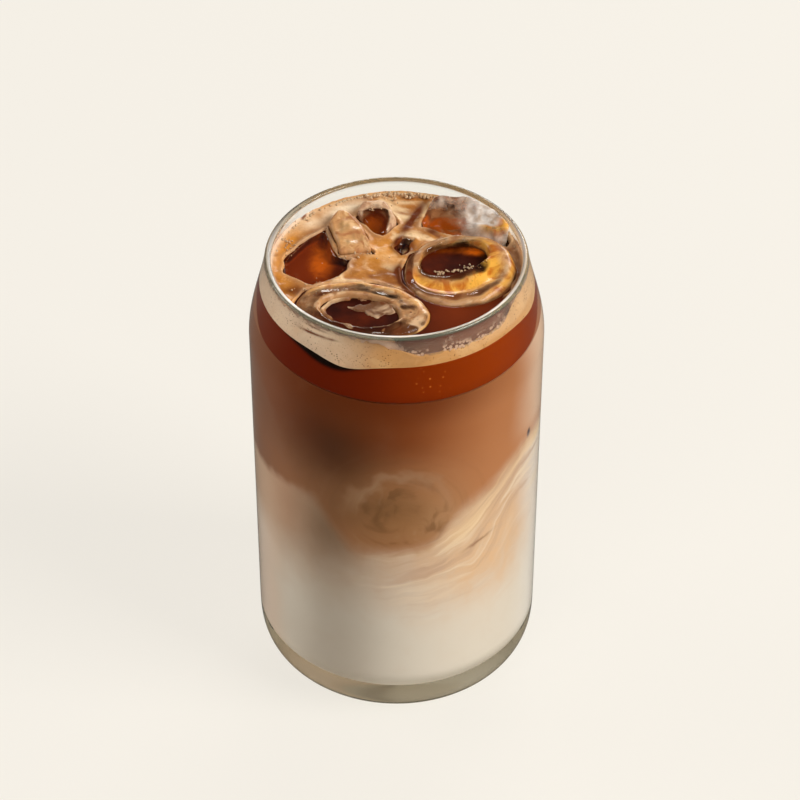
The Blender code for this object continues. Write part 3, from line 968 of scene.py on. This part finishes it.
# Painted shadow: a near-black lens under the foam at the front left
hang = turn.hump(-22.0, 12.0) * -1.6 + 124.3
lens = (height - hang + turn.hump(-33.0, 14.0) * 2.1 + cloud * 1.2).step(-0.7, 0.7)
band = blend(lens * turn.hump(-28.0, 24.0).step(0.1, 0.4), band, srgb(16, 6, 3))
drips = cell_distance(place, 620.0).step(0.22, 0.1) * turn.hump(14.0, 8.0) * height.hump(120.0, 3.5)
band = blend(drips * 0.5, band, srgb(226, 130, 60))
lower_edge = (height - cloud * 2.6).step(117.5, 113.6) * 0.35
band = blend(lower_edge, band, srgb(86, 20, 2))
ends = turn.combine("ABSOLUTE").hump(90.0, 14.0) * 4.0
bowl = ((turn - 8.0) * math.radians(1.0)).combine("COSINE") * 3.2
above = height + bowl - ends - 117.0
band = blend(above.step(0.4, -0.4), band, srgb(158, 104, 72))
pool = blend(cloud.step(-0.1, 0.25), srgb(42, 8, 1), srgb(88, 28, 3))
# Painted glow: the pool paler orange at the front right, where light comes through
pool = blend(across.step(0.0, 0.016) * back.step(-0.004, -0.012) * 0.8, pool, srgb(114, 42, 6))
colour = blend(height.step(124.9, 126.4), band, pool)
# Painted light: milky light under the ice, and an amber glow where light comes through the coffee
glint = noise(place, 300.0, 3.0, 0.6, 0.6)
amber = (share_of(tree, "window") * (glint * 1.6 + 1.0)).step(0.1, 0.9)
curl = noise(place, 210.0, 3.0, 0.5, 1.0).step(-0.12, 0.14)
fog = blend(curl, srgb(190, 134, 88), srgb(142, 86, 48))
colour = blend(share_of(tree, "milky") * 0.9, colour, fog)
colour = blend(amber, colour, srgb(194, 90, 12))
feed(shader.inputs["Base Color"], colour)
set_finish(shader, Roughness=0.5, IOR=1.34, Specular_IOR_Level=0.02)
set_finish(shader, Coat_Roughness=0.05, Coat_IOR=1.34)
feed(shader.inputs["Coat Weight"], height.step(125.0, 126.0) * 0.55)
ripple = bumps(tree, noise(place, 160.0, 2.0), 0.12, 0.0008)
feed(shader.inputs["Normal"], ripple)
feed(shader.inputs["Coat Normal"], ripple)
finish_piece(coffee, coffee_material, "coffee", "coffee")


# Foam
# Fine golden coffee foam lies on the coffee from wall to wall. It climbs the glass, draws back
# in ragged edges round the open pool, and goes brown where it is thin.

FOAM_TOP = 0.1284
SUNK = 0.0022
UNDER_ICE = 0.0014
WALL_RING = 0.0011
CLIMB_ROUND = 0.0004
CLIMB_LEFT = 0.0020
CLIMB_RIGHT = 0.0018
CLIMB_LOSS = 0.0022
CLIMB_WIDTH = 0.0008
COLLAR = 0.00035
FRONT_POOL = ((0.0140, -0.0235), (0.0150, 0.0080), math.radians(28))
HOLE_SHRINK = 0.0011
ISLAND_SIZE = 0.0040
ISLAND_CENTRE = (-0.0044, -0.0162)
ISLAND_STRETCH = (1.3, 0.85)
SMALL_MIDDLE = (0.0018, 0.0092)
STREAK_WAY = (0.395, 0.919)
STREAK_PLACE = (-0.0044, 0.0215, 0.0012, 0.0085)
# Where foam is thin: at the right wall, at the front left, in the middle and by the slab
THIN_PATCHES = [
    (1.0, 0.0306, -0.0025, 0.0012, 0.0050),
    (0.9, -0.0262, -0.0088, 0.0030, 0.0020),
    (0.7, -0.0012, -0.0010, 0.0030, 0.0026),
    (1.0, 0.0092, 0.0152, 0.0022, 0.0014),
]


def climb_of(turns):
    """How far the foam climbs the wall, by turn: high at the front left, low at the front right."""
    front = from_front(turns)
    left = rise(front, 2.0, -10.0) * rise(front, -150.0, -70.0)
    right = rise(front, 48.0, 64.0) * rise(front, 130.0, 90.0)
    low = rise(front, 0.0, 10.0) * rise(front, 62.0, 50.0)
    return CLIMB_ROUND + CLIMB_LEFT * left + CLIMB_RIGHT * right - CLIMB_LOSS * low


plan = np.stack([x, y, 0 * x], axis=-1)
rag = ripples(plan, 0.0034, 3) * 0.00042 + ripples(plan, 0.0012, 4) * 0.00010
openings = [past_oval(x, y, POOL_CENTRE, POOL_HALF, POOL_TURN), past_oval(x, y, *FRONT_POOL)]
for ring, shrink in ((FRONT_RING, HOLE_SHRINK), (RIGHT_RING, 0.0)):
    middle = np.add(hole_centre(ring), (shrink, -0.4 * shrink))
    half = np.subtract(ring["hole"], (shrink, 0.4 * shrink))
    openings.append(past_oval(x, y, middle, half, ring["turn"] + ring["hole_turn"]))
pool_edge = np.minimum.reduce(openings) + rag
island_x = (x - ISLAND_CENTRE[0]) / ISLAND_STRETCH[0]
island_y = (y - ISLAND_CENTRE[1]) / ISLAND_STRETCH[1]
island = ISLAND_SIZE - np.hypot(island_x, island_y) + ripples(plan, 0.0050, 9) * 0.0014 + rag
ice_edge = -depth + ripples(plan, 0.0048, 12) * 0.00032
cover = np.minimum(np.maximum(pool_edge, island), ice_edge + 0.0005)
cover = np.where(wall_gap < WALL_RING, np.maximum(cover, WALL_RING - wall_gap), cover)
thick = rise(cover, -0.0004, 0.0009)
grain = ripples(plan, 0.0060, 5) * 0.00009 + ripples(plan, 0.0018, 6) * 0.00003
collar = COLLAR * bell(ice_edge, 0.0004, 0.0006)
climb = climb_of(turns) * np.exp(-wall_gap / CLIMB_WIDTH)
ragged_top = 1.0 + ripples(plan, 0.0016, 7) * 0.18
sunk = SUNK * (1.0 - thick) + UNDER_ICE * rise(depth, 0.0003, 0.0010)
foam_top = FOAM_TOP + (grain + collar) * thick + climb * ragged_top - sunk
foam_points = slab_rows(turns, share, foam_top, foam_base(x, y), 14)
foam = skin("coffee_foam", foam_points)

# Thin at the pool's edge, round the small block, in a streak behind it and by the right ring
down_line = STREAK_WAY[0] * x + STREAK_WAY[1] * y
off_line = STREAK_WAY[1] * x - STREAK_WAY[0] * y
ring_gap = past_oval(x, y, RIGHT_RING["centre"], RIGHT_RING["outer"], RIGHT_RING["turn"])
by_ring = bell(ring_gap, 0.0008, 0.0012) * rise(x, 0.0150, 0.0050) * rise(y, 0.0035, -0.0010)
off_x, off_y = x - SMALL_MIDDLE[0], y - SMALL_MIDDLE[1]
thin = (1.0 - rise(pool_edge, 0.0002, 0.0026)) * rise(pool_edge, -0.0008, -0.0001)
thin += patches(x, y, THIN_PATCHES) + 1.2 * by_ring
thin += 1.7 * spot(off_line, down_line, *STREAK_PLACE)
thin += 1.0 - rise(np.hypot(off_x, off_y / 1.3), 0.0020, 0.0042)
by_ice = bell(np.maximum(ice_edge, 0.0), 0.0, 0.0012)
by_ice *= rise(np.hypot(off_x, off_y), 0.0035, 0.0065)
by_ice *= 1.0 - 0.85 * np.clip(thin, 0.0, 1.0)
radius = np.hypot(x, y)
gold = bell(radius, 0.0292, 0.0022) * rise(x, -0.012, -0.022)
gold += spot(x, y, -0.0030, 0.0070, 0.0050, 0.0060)
store_surface(
    foam,
    len(foam_points),
    thin=thin,
    by_ice=by_ice,
    gold=gold,
    # Painted highlight along the raised foam at the back left wall
    crest=bell(radius, 0.0285, 0.0026) * rise(y, 0.012, 0.020) * rise(x, -0.004, -0.012),
    rim_side=rise(radius, 0.0296, 0.0318) * rise(y, -0.012, 0.0),
    wall=rise(wall_gap, 0.0012, 0.0004) + 0.0 * x,
    curd=rise(island, -0.0004, 0.0004) * rise(pool_edge, 0.0004, -0.0004),
)

foam_material, tree, shader = new_material("coffee_foam")
place = object_place(tree)
turn, up, front, _, _ = round_glass(tree, place)
drift = noise(place, 150.0, 3.0, 0.5, 0.8)
streak = noise(place, 80.0, 2.2, 0.5, 1.3)
colour = blend((drift * 1.8 + 0.5), srgb(200, 140, 72), srgb(150, 86, 30))
colour = blend(streak.step(-0.01, 0.13) * 0.85, colour, srgb(118, 58, 14))
colour = blend(streak.step(-0.04, -0.16) * 0.85, colour, srgb(240, 210, 166))
mottle = noise(place, 460.0, 4.0, 0.7, 0.5)
colour = blend(mottle.step(0.03, 0.2) * 0.40, colour, srgb(122, 74, 36))
colour = blend(mottle.step(-0.03, -0.2) * 0.35, colour, srgb(238, 206, 160))
rim_side = share_of(tree, "rim_side")
colour = blend(rim_side * (streak * -2.0 + 0.5), colour, srgb(236, 208, 168))
colour = blend(share_of(tree, "gold") * (drift + 0.6), colour, srgb(222, 148, 52))
# Painted highlight on the raised crest of foam at the back left
colour = blend(share_of(tree, "crest") * (streak * -2.0 + 0.7), colour, srgb(236, 214, 184))
colour = blend(share_of(tree, "thin") * (streak + 0.9), colour, srgb(96, 40, 5))
colour = blend(share_of(tree, "by_ice") * (streak * 1.5 + 0.35), colour, srgb(226, 190, 150))
curd = blend(drift.step(-0.08, 0.1), srgb(196, 164, 132), srgb(104, 68, 44))
colour = blend(share_of(tree, "curd"), colour, curd)

# The crust against the glass: pale at the left, golden low down, with two slanted marks
outside = share_of(tree, "wall")
front_turn = turn * front * math.radians(1.0)
crust = blend(front_turn.step(-0.05, -0.6), srgb(200, 150, 98), srgb(238, 210, 184))
crust = blend(front_turn.step(0.3, 1.2), crust, srgb(222, 180, 136))
low = front_turn.hump(0.9, 0.6) * up.step(126.0, 124.6) * 0.6
crust = blend(low, crust, srgb(190, 136, 76))
slant = up - front_turn * 2.2
mark = slant.hump(130.0, 0.35) * front_turn.hump(-0.64, 0.16).step(0.1, 0.5)
mark = mark.most(up.hump(130.3, 0.3) * front_turn.hump(-0.66, 0.09))
crust = blend(mark * (drift * 3.0 + 0.9), crust, srgb(112, 56, 42))
colour = blend(outside * (drift * 0.6 + 0.86), colour, crust)

froth = cell_distance(place, 1500.0)
colour = blend(froth.step(0.35, 0.1) * 0.25, colour, srgb(150, 96, 56))
pores = froth.step(0.30, 0.18) * outside * noise(place, 260.0).step(-0.02, 0.1)
colour = blend(pores * 0.75, colour, srgb(106, 60, 40))
feed(shader.inputs["Base Color"], colour)
set_finish(shader, Roughness=0.5, IOR=1.34, Specular_IOR_Level=0.05)
set_finish(shader, Coat_Roughness=0.16, Coat_IOR=1.34)
feed(shader.inputs["Coat Weight"], up.step(127.6, 128.2) * 0.35)
feed(shader.inputs["Normal"], bumps(tree, froth * 0.5 + drift * 0.8, 0.20, 0.0003))
finish_piece(foam, foam_material, "foam", "foam")


# Melted tube ice
# Two pieces of tube ice float upright, melted smooth, with coffee standing in their holes. Foam
# has left a pale film along their edges and lies in a groove on the right one.

RING_HEIGHT = 0.0115
RING_SQUARING = 0.55
RING_COLUMNS = 224
RING_ROWS = 112
HOLLOW_DEPTH = 0.0003
GROOVE_DEPTH = 0.0014
BLADE_HEIGHT = 0.0011


def squared(value):
    """Pushes a sine or cosine out, so that a circle becomes a square with melted corners."""
    return np.copysign(np.abs(value) ** RING_SQUARING, value)


def ring_points(ring, relief, lump, seed):
    """A torus squared off between its hole and its outside, set in plan and then tipped.

    Rows go round the section and columns round the ring. The relief is a height added to the
    end face by place across the wall and round the ring, and noise melts the whole surface.
    """
    turns = full_turn(RING_COLUMNS)
    section = (math.pi - np.arange(RING_ROWS) * math.tau / RING_ROWS)[:, None]
    outwards = squared(np.cos(section)) + 0.0 * turns
    upwards = squared(np.sin(section)) + 0.0 * turns
    across = 0.5 + 0.5 * outwards
    skew = ring["hole_turn"]
    hole_x = ring["hole"][0] * np.cos(turns - skew)
    hole_y = ring["hole"][1] * np.sin(turns - skew)
    hole = np.add(rotate(hole_x, hole_y, skew), np.array(ring["hole_shift"])[:, None])
    outer = [ring["outer"][0] * np.cos(turns), ring["outer"][1] * np.sin(turns)]
    plan = [hole[axis] + (outer[axis] - hole[axis]) * across for axis in range(2)]
    height = RING_HEIGHT / 2 * (upwards - 1.0)
    height = height + relief(turns, across) * rise(upwards, 0.5, 1.0)
    points = np.stack([plan[0], plan[1], height], axis=-1)
    wave = [ripples(points, 0.0060, seed + axis) * lump for axis in range(3)]
    points = points + np.stack(wave, axis=-1)
    turn, tilt, way = ring["turn"], ring["tilt"], ring["tilt_turn"]
    flat_x, flat_y = rotate(points[..., 0], points[..., 1], turn)
    uphill = flat_x * math.cos(way) + flat_y * math.sin(way)
    gain = uphill * (math.cos(tilt) - 1.0) - points[..., 2] * math.sin(tilt)
    tipped = np.stack([
        flat_x + gain * math.cos(way),
        flat_y + gain * math.sin(way),
        uphill * math.sin(tilt) + points[..., 2] * math.cos(tilt),
    ], axis=-1)
    return tipped + np.array(ring["centre"]), turns, across, upwards


def ice_material(name, clear_tint):
    """Wet clear ice, with a film of foam where the piece's film share says so.

    The film is tan, orange where the gold share is high, and grey-white where frost is.
    """
    material, tree, shader = new_material(name)
    place = object_place(tree)
    set_finish(shader, Base_Color=clear_tint, Transmission_Weight=1.0, IOR=1.31)
    frost = noise(place, 140.0, 4.0, 0.6)
    feed(shader.inputs["Roughness"], frost.step(-0.2, 0.3, 0.02, 0.12))
    melt = noise(place, 260.0, 2.0, 0.5, 0.8)
    feed(shader.inputs["Normal"], bumps(tree, melt, 0.35, 0.0005))
    film = put(tree, "ShaderNodeBsdfPrincipled")
    dapple = noise(place, 380.0, 4.0, 0.6)
    vein = noise(place, 170.0, 4.0, 0.6, 1.6)
    pale = blend(dapple * 1.3 + 0.5, srgb(208, 164, 116), srgb(160, 107, 66))
    grain = share_of(tree, "grain")
    pale = blend((vein + grain * 0.07).step(0.0, 0.18) * 0.6, pale, srgb(122, 72, 40))
    pale = blend((grain * 0.07 - vein).step(0.02, 0.2) * 0.5, pale, srgb(236, 206, 168))
    icy = blend(vein.step(-0.1, 0.2), srgb(238, 230, 222), srgb(180, 156, 134))
    pale = blend(share_of(tree, "frost"), pale, icy)
    rich = blend(vein.step(-0.1, 0.15), srgb(238, 176, 72), srgb(190, 102, 20))
    pale = blend(share_of(tree, "gold"), pale, rich)
    pits = cell_distance(place, 900.0).step(0.32, 0.2) * share_of(tree, "pitted")
    pale = blend(pits * 0.85, pale, srgb(58, 26, 14))
    feed(film.inputs["Base Color"], pale)
    set_finish(film, Roughness=0.24, IOR=1.34)
    feed(film.inputs["Normal"], bumps(tree, dapple - pits * 0.5, 0.3, 0.0003))
    patchy = share_of(tree, "film") + dapple * 0.5 + vein * 0.5 + grain * 0.08 - 0.5
    mixed = put(tree, "ShaderNodeMixShader", {
        0: patchy.step(-0.25, 0.3),
        1: let_light_in(tree, shader),
        2: film.outputs["BSDF"],
    })
    feed(tree.nodes["Material Output"].inputs["Surface"], mixed.outputs[0])
    return material


def shallow(turns, across):
    """A slight hollow all round the end face, and a raised lip round the hole."""
    return HOLLOW_DEPTH * (bell(across, 0.10, 0.10) - bell(across, 0.5, 0.25))


ring_ice = ice_material("tube_ice", (0.95, 0.88, 0.80, 1.0))
points, turns, across, upwards = ring_points(FRONT_RING, shallow, 0.00013, 11)
front_ring = skin("front_tube_ice", points, ring=True)
on_top = rise(upwards, 0.2, 0.9)
# Noise round a ring is read on a cylinder, so that it joins up, with its rows across the wall
spokes = ripples(around(1.0, turns, 0.4 * across), 0.28, 17) * rise(np.cos(turns), -0.2, 0.8)
streaks = ripples(around(1.0, turns, 2.6 * across), 0.6, 18)
outer_line = bell(across, 0.95, 0.040)
inner_line = bell(across, 0.10, 0.08)
tan_back = bell(across, 0.74, 0.12) * rise(np.sin(turns), 0.0, 0.6)
near = rise(-np.sin(turns), 0.1, 0.8)
at_right = rise(np.cos(turns), 0.3, 0.9)
film = (1.0 - 0.6 * near) * outer_line + (0.9 - 0.4 * near) * inner_line + 0.45 * tan_back
film += 0.44 - 0.26 * near + 0.08 * spokes + (0.18 - 0.40 * near) * at_right
bubbly = bell(across, 0.36, 0.12) * rise(np.sin(turns), -0.2, 0.4)
store(
    front_ring,
    film=on_top * np.clip(film, 0.0, 1.0),
    gold=0.6 * outer_line * rise(np.cos(turns), 0.0, 0.9) + 0.4 * tan_back,
    grain=streaks + spokes,
    pitted=bubbly + 0.25 * rise(spokes, 0.2, 1.0),
    frost=0.0 * film,
)
finish_piece(front_ring, ring_ice, "ice", "ice_ring_front")


def groove_and_blade(turns, across):
    """A deep groove along the front where foam has settled, and a thin blade inside it."""
    front = rise(-np.sin(turns), 0.05, 0.65)
    blade_turn = bell(np.angle(np.exp(1j * (turns + 0.9))), 0.0, 0.75)
    groove = GROOVE_DEPTH * front * bell(across, 0.50, 0.20)
    return BLADE_HEIGHT * blade_turn * bell(across, 0.10, 0.09) - groove


points, turns, across, upwards = ring_points(RIGHT_RING, groove_and_blade, 0.00012, 21)
right_ring = skin("right_tube_ice", points, ring=True)
on_top = rise(upwards, 0.2, 0.9)
x, y = points[..., 0], points[..., 1]
folds = ripples(around(1.0, turns, 2.6 * across), 0.6, 27)
front = rise(-np.sin(turns), 0.0, 0.5)
right_side = rise(np.cos(turns), 0.2, 0.9)
left_side = rise(x, 0.0062, 0.0036) * rise(y, -0.012, -0.010) * rise(across, 0.35, 0.7)
crescent = front * bell(across, 0.45, 0.17)
outer_line = bell(across, 0.90, 0.075)
inner_edge = front * bell(across, 0.12, 0.12)
from_edge = np.maximum(rise(across, 0.05, 0.28), rise(np.cos(turns), 0.1, 0.7))
back_film = (1.0 - front) * 0.62 * (0.7 + 0.3 * from_edge)
back_glow = 0.5 * (1.0 - front) * bell(across, 0.08, 0.10)
film = crescent * 1.2 + outer_line * 0.8 + back_film + 0.14 * front + 0.30 * right_side
film += -0.45 * spot(x, y, 0.0225, -0.0030, 0.0028, 0.0016) - 0.6 * left_side
right_gold = right_side * (0.8 * bell(across, 0.30, 0.25) + 0.85 * outer_line)
gold = crescent + back_glow + right_gold + 0.4 * inner_edge
store(
    right_ring,
    film=on_top * np.clip(film, 0.0, 1.0),
    gold=np.clip(gold, 0.0, 1.0),
    grain=folds,
    pitted=inner_edge + 0.3 * crescent * rise(folds, 0.0, 1.0),
    frost=0.0 * film,
)
finish_piece(right_ring, ring_ice, "ice", "ice_ring_right")


# Ice blocks
# Broken, half-melted blocks float flush with the foam behind and to the left. The slab at the
# back right leans on the glass and stands a little over the rim.

BLOCK_DEPTH = 0.0100
BLOCK_TAPER = 0.08
BLOCK_COLUMNS = 160
BLOCK_ROWS = 56
MELT = 0.0011
# Shares of the rows by which the flat top, its round edge, the side and the lower edge end
TOP_TO, EDGE_TO, SIDE_TO, LOWER_TO = 0.36, 0.50, 0.74, 0.86
HEART = (-0.0052, 0.0194, 0.0036, 0.0060)
# Each block: film on its face, film along its edge, frost, gold, softening and lumps
BLOCK_LOOKS = {
    "left": (0.0, 0.15, 0.0, 0.0, 16, 0.00005),
    "wedge": (0.72, 0.80, 0.10, 0.30, 10, 0.00016),
    "back": (0.44, 0.46, 0.30, 0.15, 40, 0.00012),
    "small": (0.30, 0.36, 0.0, 0.10, 60, 0.00010),
    "slab": (0.66, 0.60, 1.0, 0.0, 24, 0.00020),
}


def block_points(corners, softening, seed, lump):
    """A melted prism: its outline resampled by length and rounded, and rows down a rounded side.

    Rows go from the middle of the top out to the edge, down the side and back in below. The
    top's height is the plane that fits the corners' own heights. Softening is how many times
    each outline point is drawn towards its neighbours.
    """
    plan = corners[:, :2]
    middle = plan.mean(axis=0)
    ends = np.vstack([plan, plan[:1]])
    lengths = np.concatenate([[0.0], np.cumsum(np.linalg.norm(np.diff(ends, axis=0), axis=1))])
    along = np.linspace(0.0, lengths[-1], BLOCK_COLUMNS, endpoint=False)
    outline = np.stack([np.interp(along, lengths, ends[:, i]) for i in range(2)], axis=-1)
    for _ in range(softening):
        outline = (np.roll(outline, 1, axis=0) + 2 * outline + np.roll(outline, -1, axis=0)) / 4
    fit = np.c_[plan - middle, np.ones(len(plan))]
    slope_x, slope_y, level = np.linalg.lstsq(fit, corners[:, 2], rcond=None)[0]
    row = np.linspace(0.0, 1.0, BLOCK_ROWS)[:, None]
    corner_turn = rise(row, TOP_TO, EDGE_TO) * math.pi / 2
    lower_turn = rise(row, SIDE_TO, LOWER_TO) * math.pi / 2
    inset = MELT * (1.0 - np.sin(corner_turn)) + MELT * (1.0 - np.cos(lower_turn))
    reach = np.clip(row / TOP_TO, 0.0, 1.0) * np.clip((1.0 - row) / (1.0 - LOWER_TO), 0.0, 1.0)
    drop = MELT * (1.0 - np.cos(corner_turn)) + MELT * np.sin(lower_turn)
    down_side = np.clip((row - EDGE_TO) / (SIDE_TO - EDGE_TO), 0.0, 1.0)
    drop = drop + (BLOCK_DEPTH - 2 * MELT) * down_side
    outwards = outline - middle
    size = np.linalg.norm(outwards, axis=1)
    scale = (1.0 - inset / size) * reach * (1.0 - BLOCK_TAPER * drop / BLOCK_DEPTH)
    x = middle[0] + outwards[:, 0] * scale
    y = middle[1] + outwards[:, 1] * scale
    top = level + slope_x * (x - middle[0]) + slope_y * (y - middle[1])
    points = np.stack([x, y, top - drop], axis=-1)
    wave = [ripples(points, 0.0046, seed + axis) * lump for axis in range(3)]
    points = points + np.stack(wave, axis=-1)
    return points, reach * np.ones(len(outline)), drop + 0.0 * size


block_ice = ice_material("block_ice", (0.96, 0.92, 0.87, 1.0))
for seed, (name, look) in enumerate(BLOCK_LOOKS.items()):
    face_film, edge_film, frost, gold, softening, lump = look
    corners = BLOCKS[f"ice_{name}"]
    points, reach, drop = block_points(corners, softening, 31 + 5 * seed, lump)
    block = skin(f"{name}_block", points)
    x, y = points[..., 0], points[..., 1]
    edge = rise(reach, 0.72, 1.0) * rise(drop, 0.0030, 0.0)
    film = np.clip(face_film + (edge_film - face_film) * edge, 0.0, 1.0)
    frost_and_sheen = 1.0 + 0.0 * reach
    # The slab is whitened towards its right end and back edge: partly frost, partly a painted
    # reflection of the bright surroundings
    if name == "slab":
        frost_and_sheen = np.maximum(rise(x, 0.012, 0.021), 0.5 * rise(y, 0.0205, 0.0235))
    film = film * (0.48 + 0.52 * frost_and_sheen)
    if name == "back":
        from_heart = np.hypot((x - HEART[0]) / HEART[2], (y - HEART[1]) / HEART[3])
        film = film * rise(from_heart, 0.7, 1.1) + 0.6 * rise(y, 0.0216, 0.0230)
        film = film + 0.35 * rise(x, -0.0030, -0.0014)
    right_edge = edge * rise(x, 0.019, 0.024) * rise(y, 0.0150, 0.0125)
    store_rows(
        block,
        film=np.clip(film, 0.0, 1.0),
        gold=right_edge + gold,
        grain=ripples(points * (1.0, 0.3, 0.5), 0.0018, 60 + seed),
        pitted=0.12 * rise(ripples(points, 0.0030, 70 + seed), 0.3, 1.2),
        frost=frost * frost_and_sheen,
    )
    finish_piece(block, block_ice, "ice", f"ice_{name}")


# Bubbles
# Loose bubbles of coffee foam stand along the back wall and in the corners of the ice, and
# float in the hole of the right ring. They are soft films, held only by the foam they touch.

BALL_ROWS = 5
BALL_COLUMNS = 8
WALL_BUBBLES = 150
WALL_LINE = 0.0326
WALL_SPREAD = 0.0006
WALL_TURN = (176.0, 34.0)
WALL_SIZES = (0.00018, 0.00052)
FARTHEST_OUT = 0.0314
# Each cluster: how many, plan place, how far it spreads each way, level, smallest, largest
CLUSTERS = [
    (34, -0.0272, 0.0086, 0.0012, 0.0022, 0.1287, 0.00010, 0.00026),
    (16, 0.0112, -0.0014, 0.0010, 0.0004, 0.1283, 0.00012, 0.00030),
    (20, 0.0146, -0.0006, 0.0014, 0.0004, 0.1283, 0.00012, 0.00030),
    (16, 0.0184, 0.0008, 0.0010, 0.0004, 0.1283, 0.00012, 0.00030),
    (14, -0.0052, 0.0226, 0.0014, 0.0006, 0.1307, 0.00010, 0.00024),
    (26, -0.0210, -0.0085, 0.0050, 0.0014, 0.1286, 0.00010, 0.00030),
    (30, -0.0100, 0.0070, 0.0030, 0.0020, 0.1289, 0.00012, 0.00036),
    (30, 0.0010, 0.0300, 0.0060, 0.0012, 0.1290, 0.00020, 0.00062),
]


def ball():
    """Unit sphere of a few dozen faces: corners, and quads and triangles by index."""
    tilt = np.linspace(0.0, math.pi, BALL_ROWS + 1)[1:-1, None]
    corners = around(np.sin(tilt), full_turn(BALL_COLUMNS), np.cos(tilt)).reshape(-1, 3)
    corners = np.vstack([corners, [(0, 0, 1), (0, 0, -1)]])
    index = np.arange((BALL_ROWS - 1) * BALL_COLUMNS).reshape(BALL_ROWS - 1, BALL_COLUMNS)
    return corners, quads_of(index), caps_of(index, len(corners) - 2, len(corners) - 1)


def bubbles(name, centres, radii):
    """One mesh of many small balls, each the unit ball times its radius, at its centre."""
    corners, quads, triangles = ball()
    points = centres[:, None] + corners * radii[:, None, None]
    offsets = np.arange(len(centres))[:, None, None] * len(corners)
    faces = (quads + offsets).reshape(-1, 4).tolist() + (triangles + offsets).reshape(-1, 3).tolist()
    return new_body(name, points.reshape(-1, 3), faces)


random = np.random.default_rng(8)
wall_turn = np.radians(random.normal(*WALL_TURN, WALL_BUBBLES))
wall_radius = WALL_LINE - random.exponential(WALL_SPREAD, WALL_BUBBLES)
wall_sizes = random.uniform(*WALL_SIZES, WALL_BUBBLES)
centres = [around(wall_radius, wall_turn - math.pi / 2, FOAM_TOP + wall_sizes * 0.5)]
sizes = [wall_sizes]
for count, middle_x, middle_y, wide, deep, level, smallest, largest in CLUSTERS:
    spread = random.normal(size=(count, 2)) * (wide, deep)
    heights = level + 0.0 * spread[:, :1]
    centres.append(np.hstack([spread + (middle_x, middle_y), heights]))
    sizes.append(random.uniform(smallest, largest, count))
centres, sizes = np.concatenate(centres), np.concatenate(sizes)
centres[:, :2] *= np.minimum(1.0, FARTHEST_OUT / np.hypot(centres[:, 0], centres[:, 1]))[:, None]
foam_bubbles = bubbles("foam_bubbles", centres, sizes)
bubble_material, tree, shader = new_material("bubble_film")
place = object_place(tree)
tint = blend(noise(place, 300.0) + 0.5, srgb(240, 218, 186), srgb(214, 168, 116))
feed(shader.inputs["Base Color"], tint)
set_finish(shader, Roughness=0.08, IOR=1.33, Transmission_Weight=0.35)
foam_bubbles.data.materials.append(bubble_material)
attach(foam_bubbles, "root")
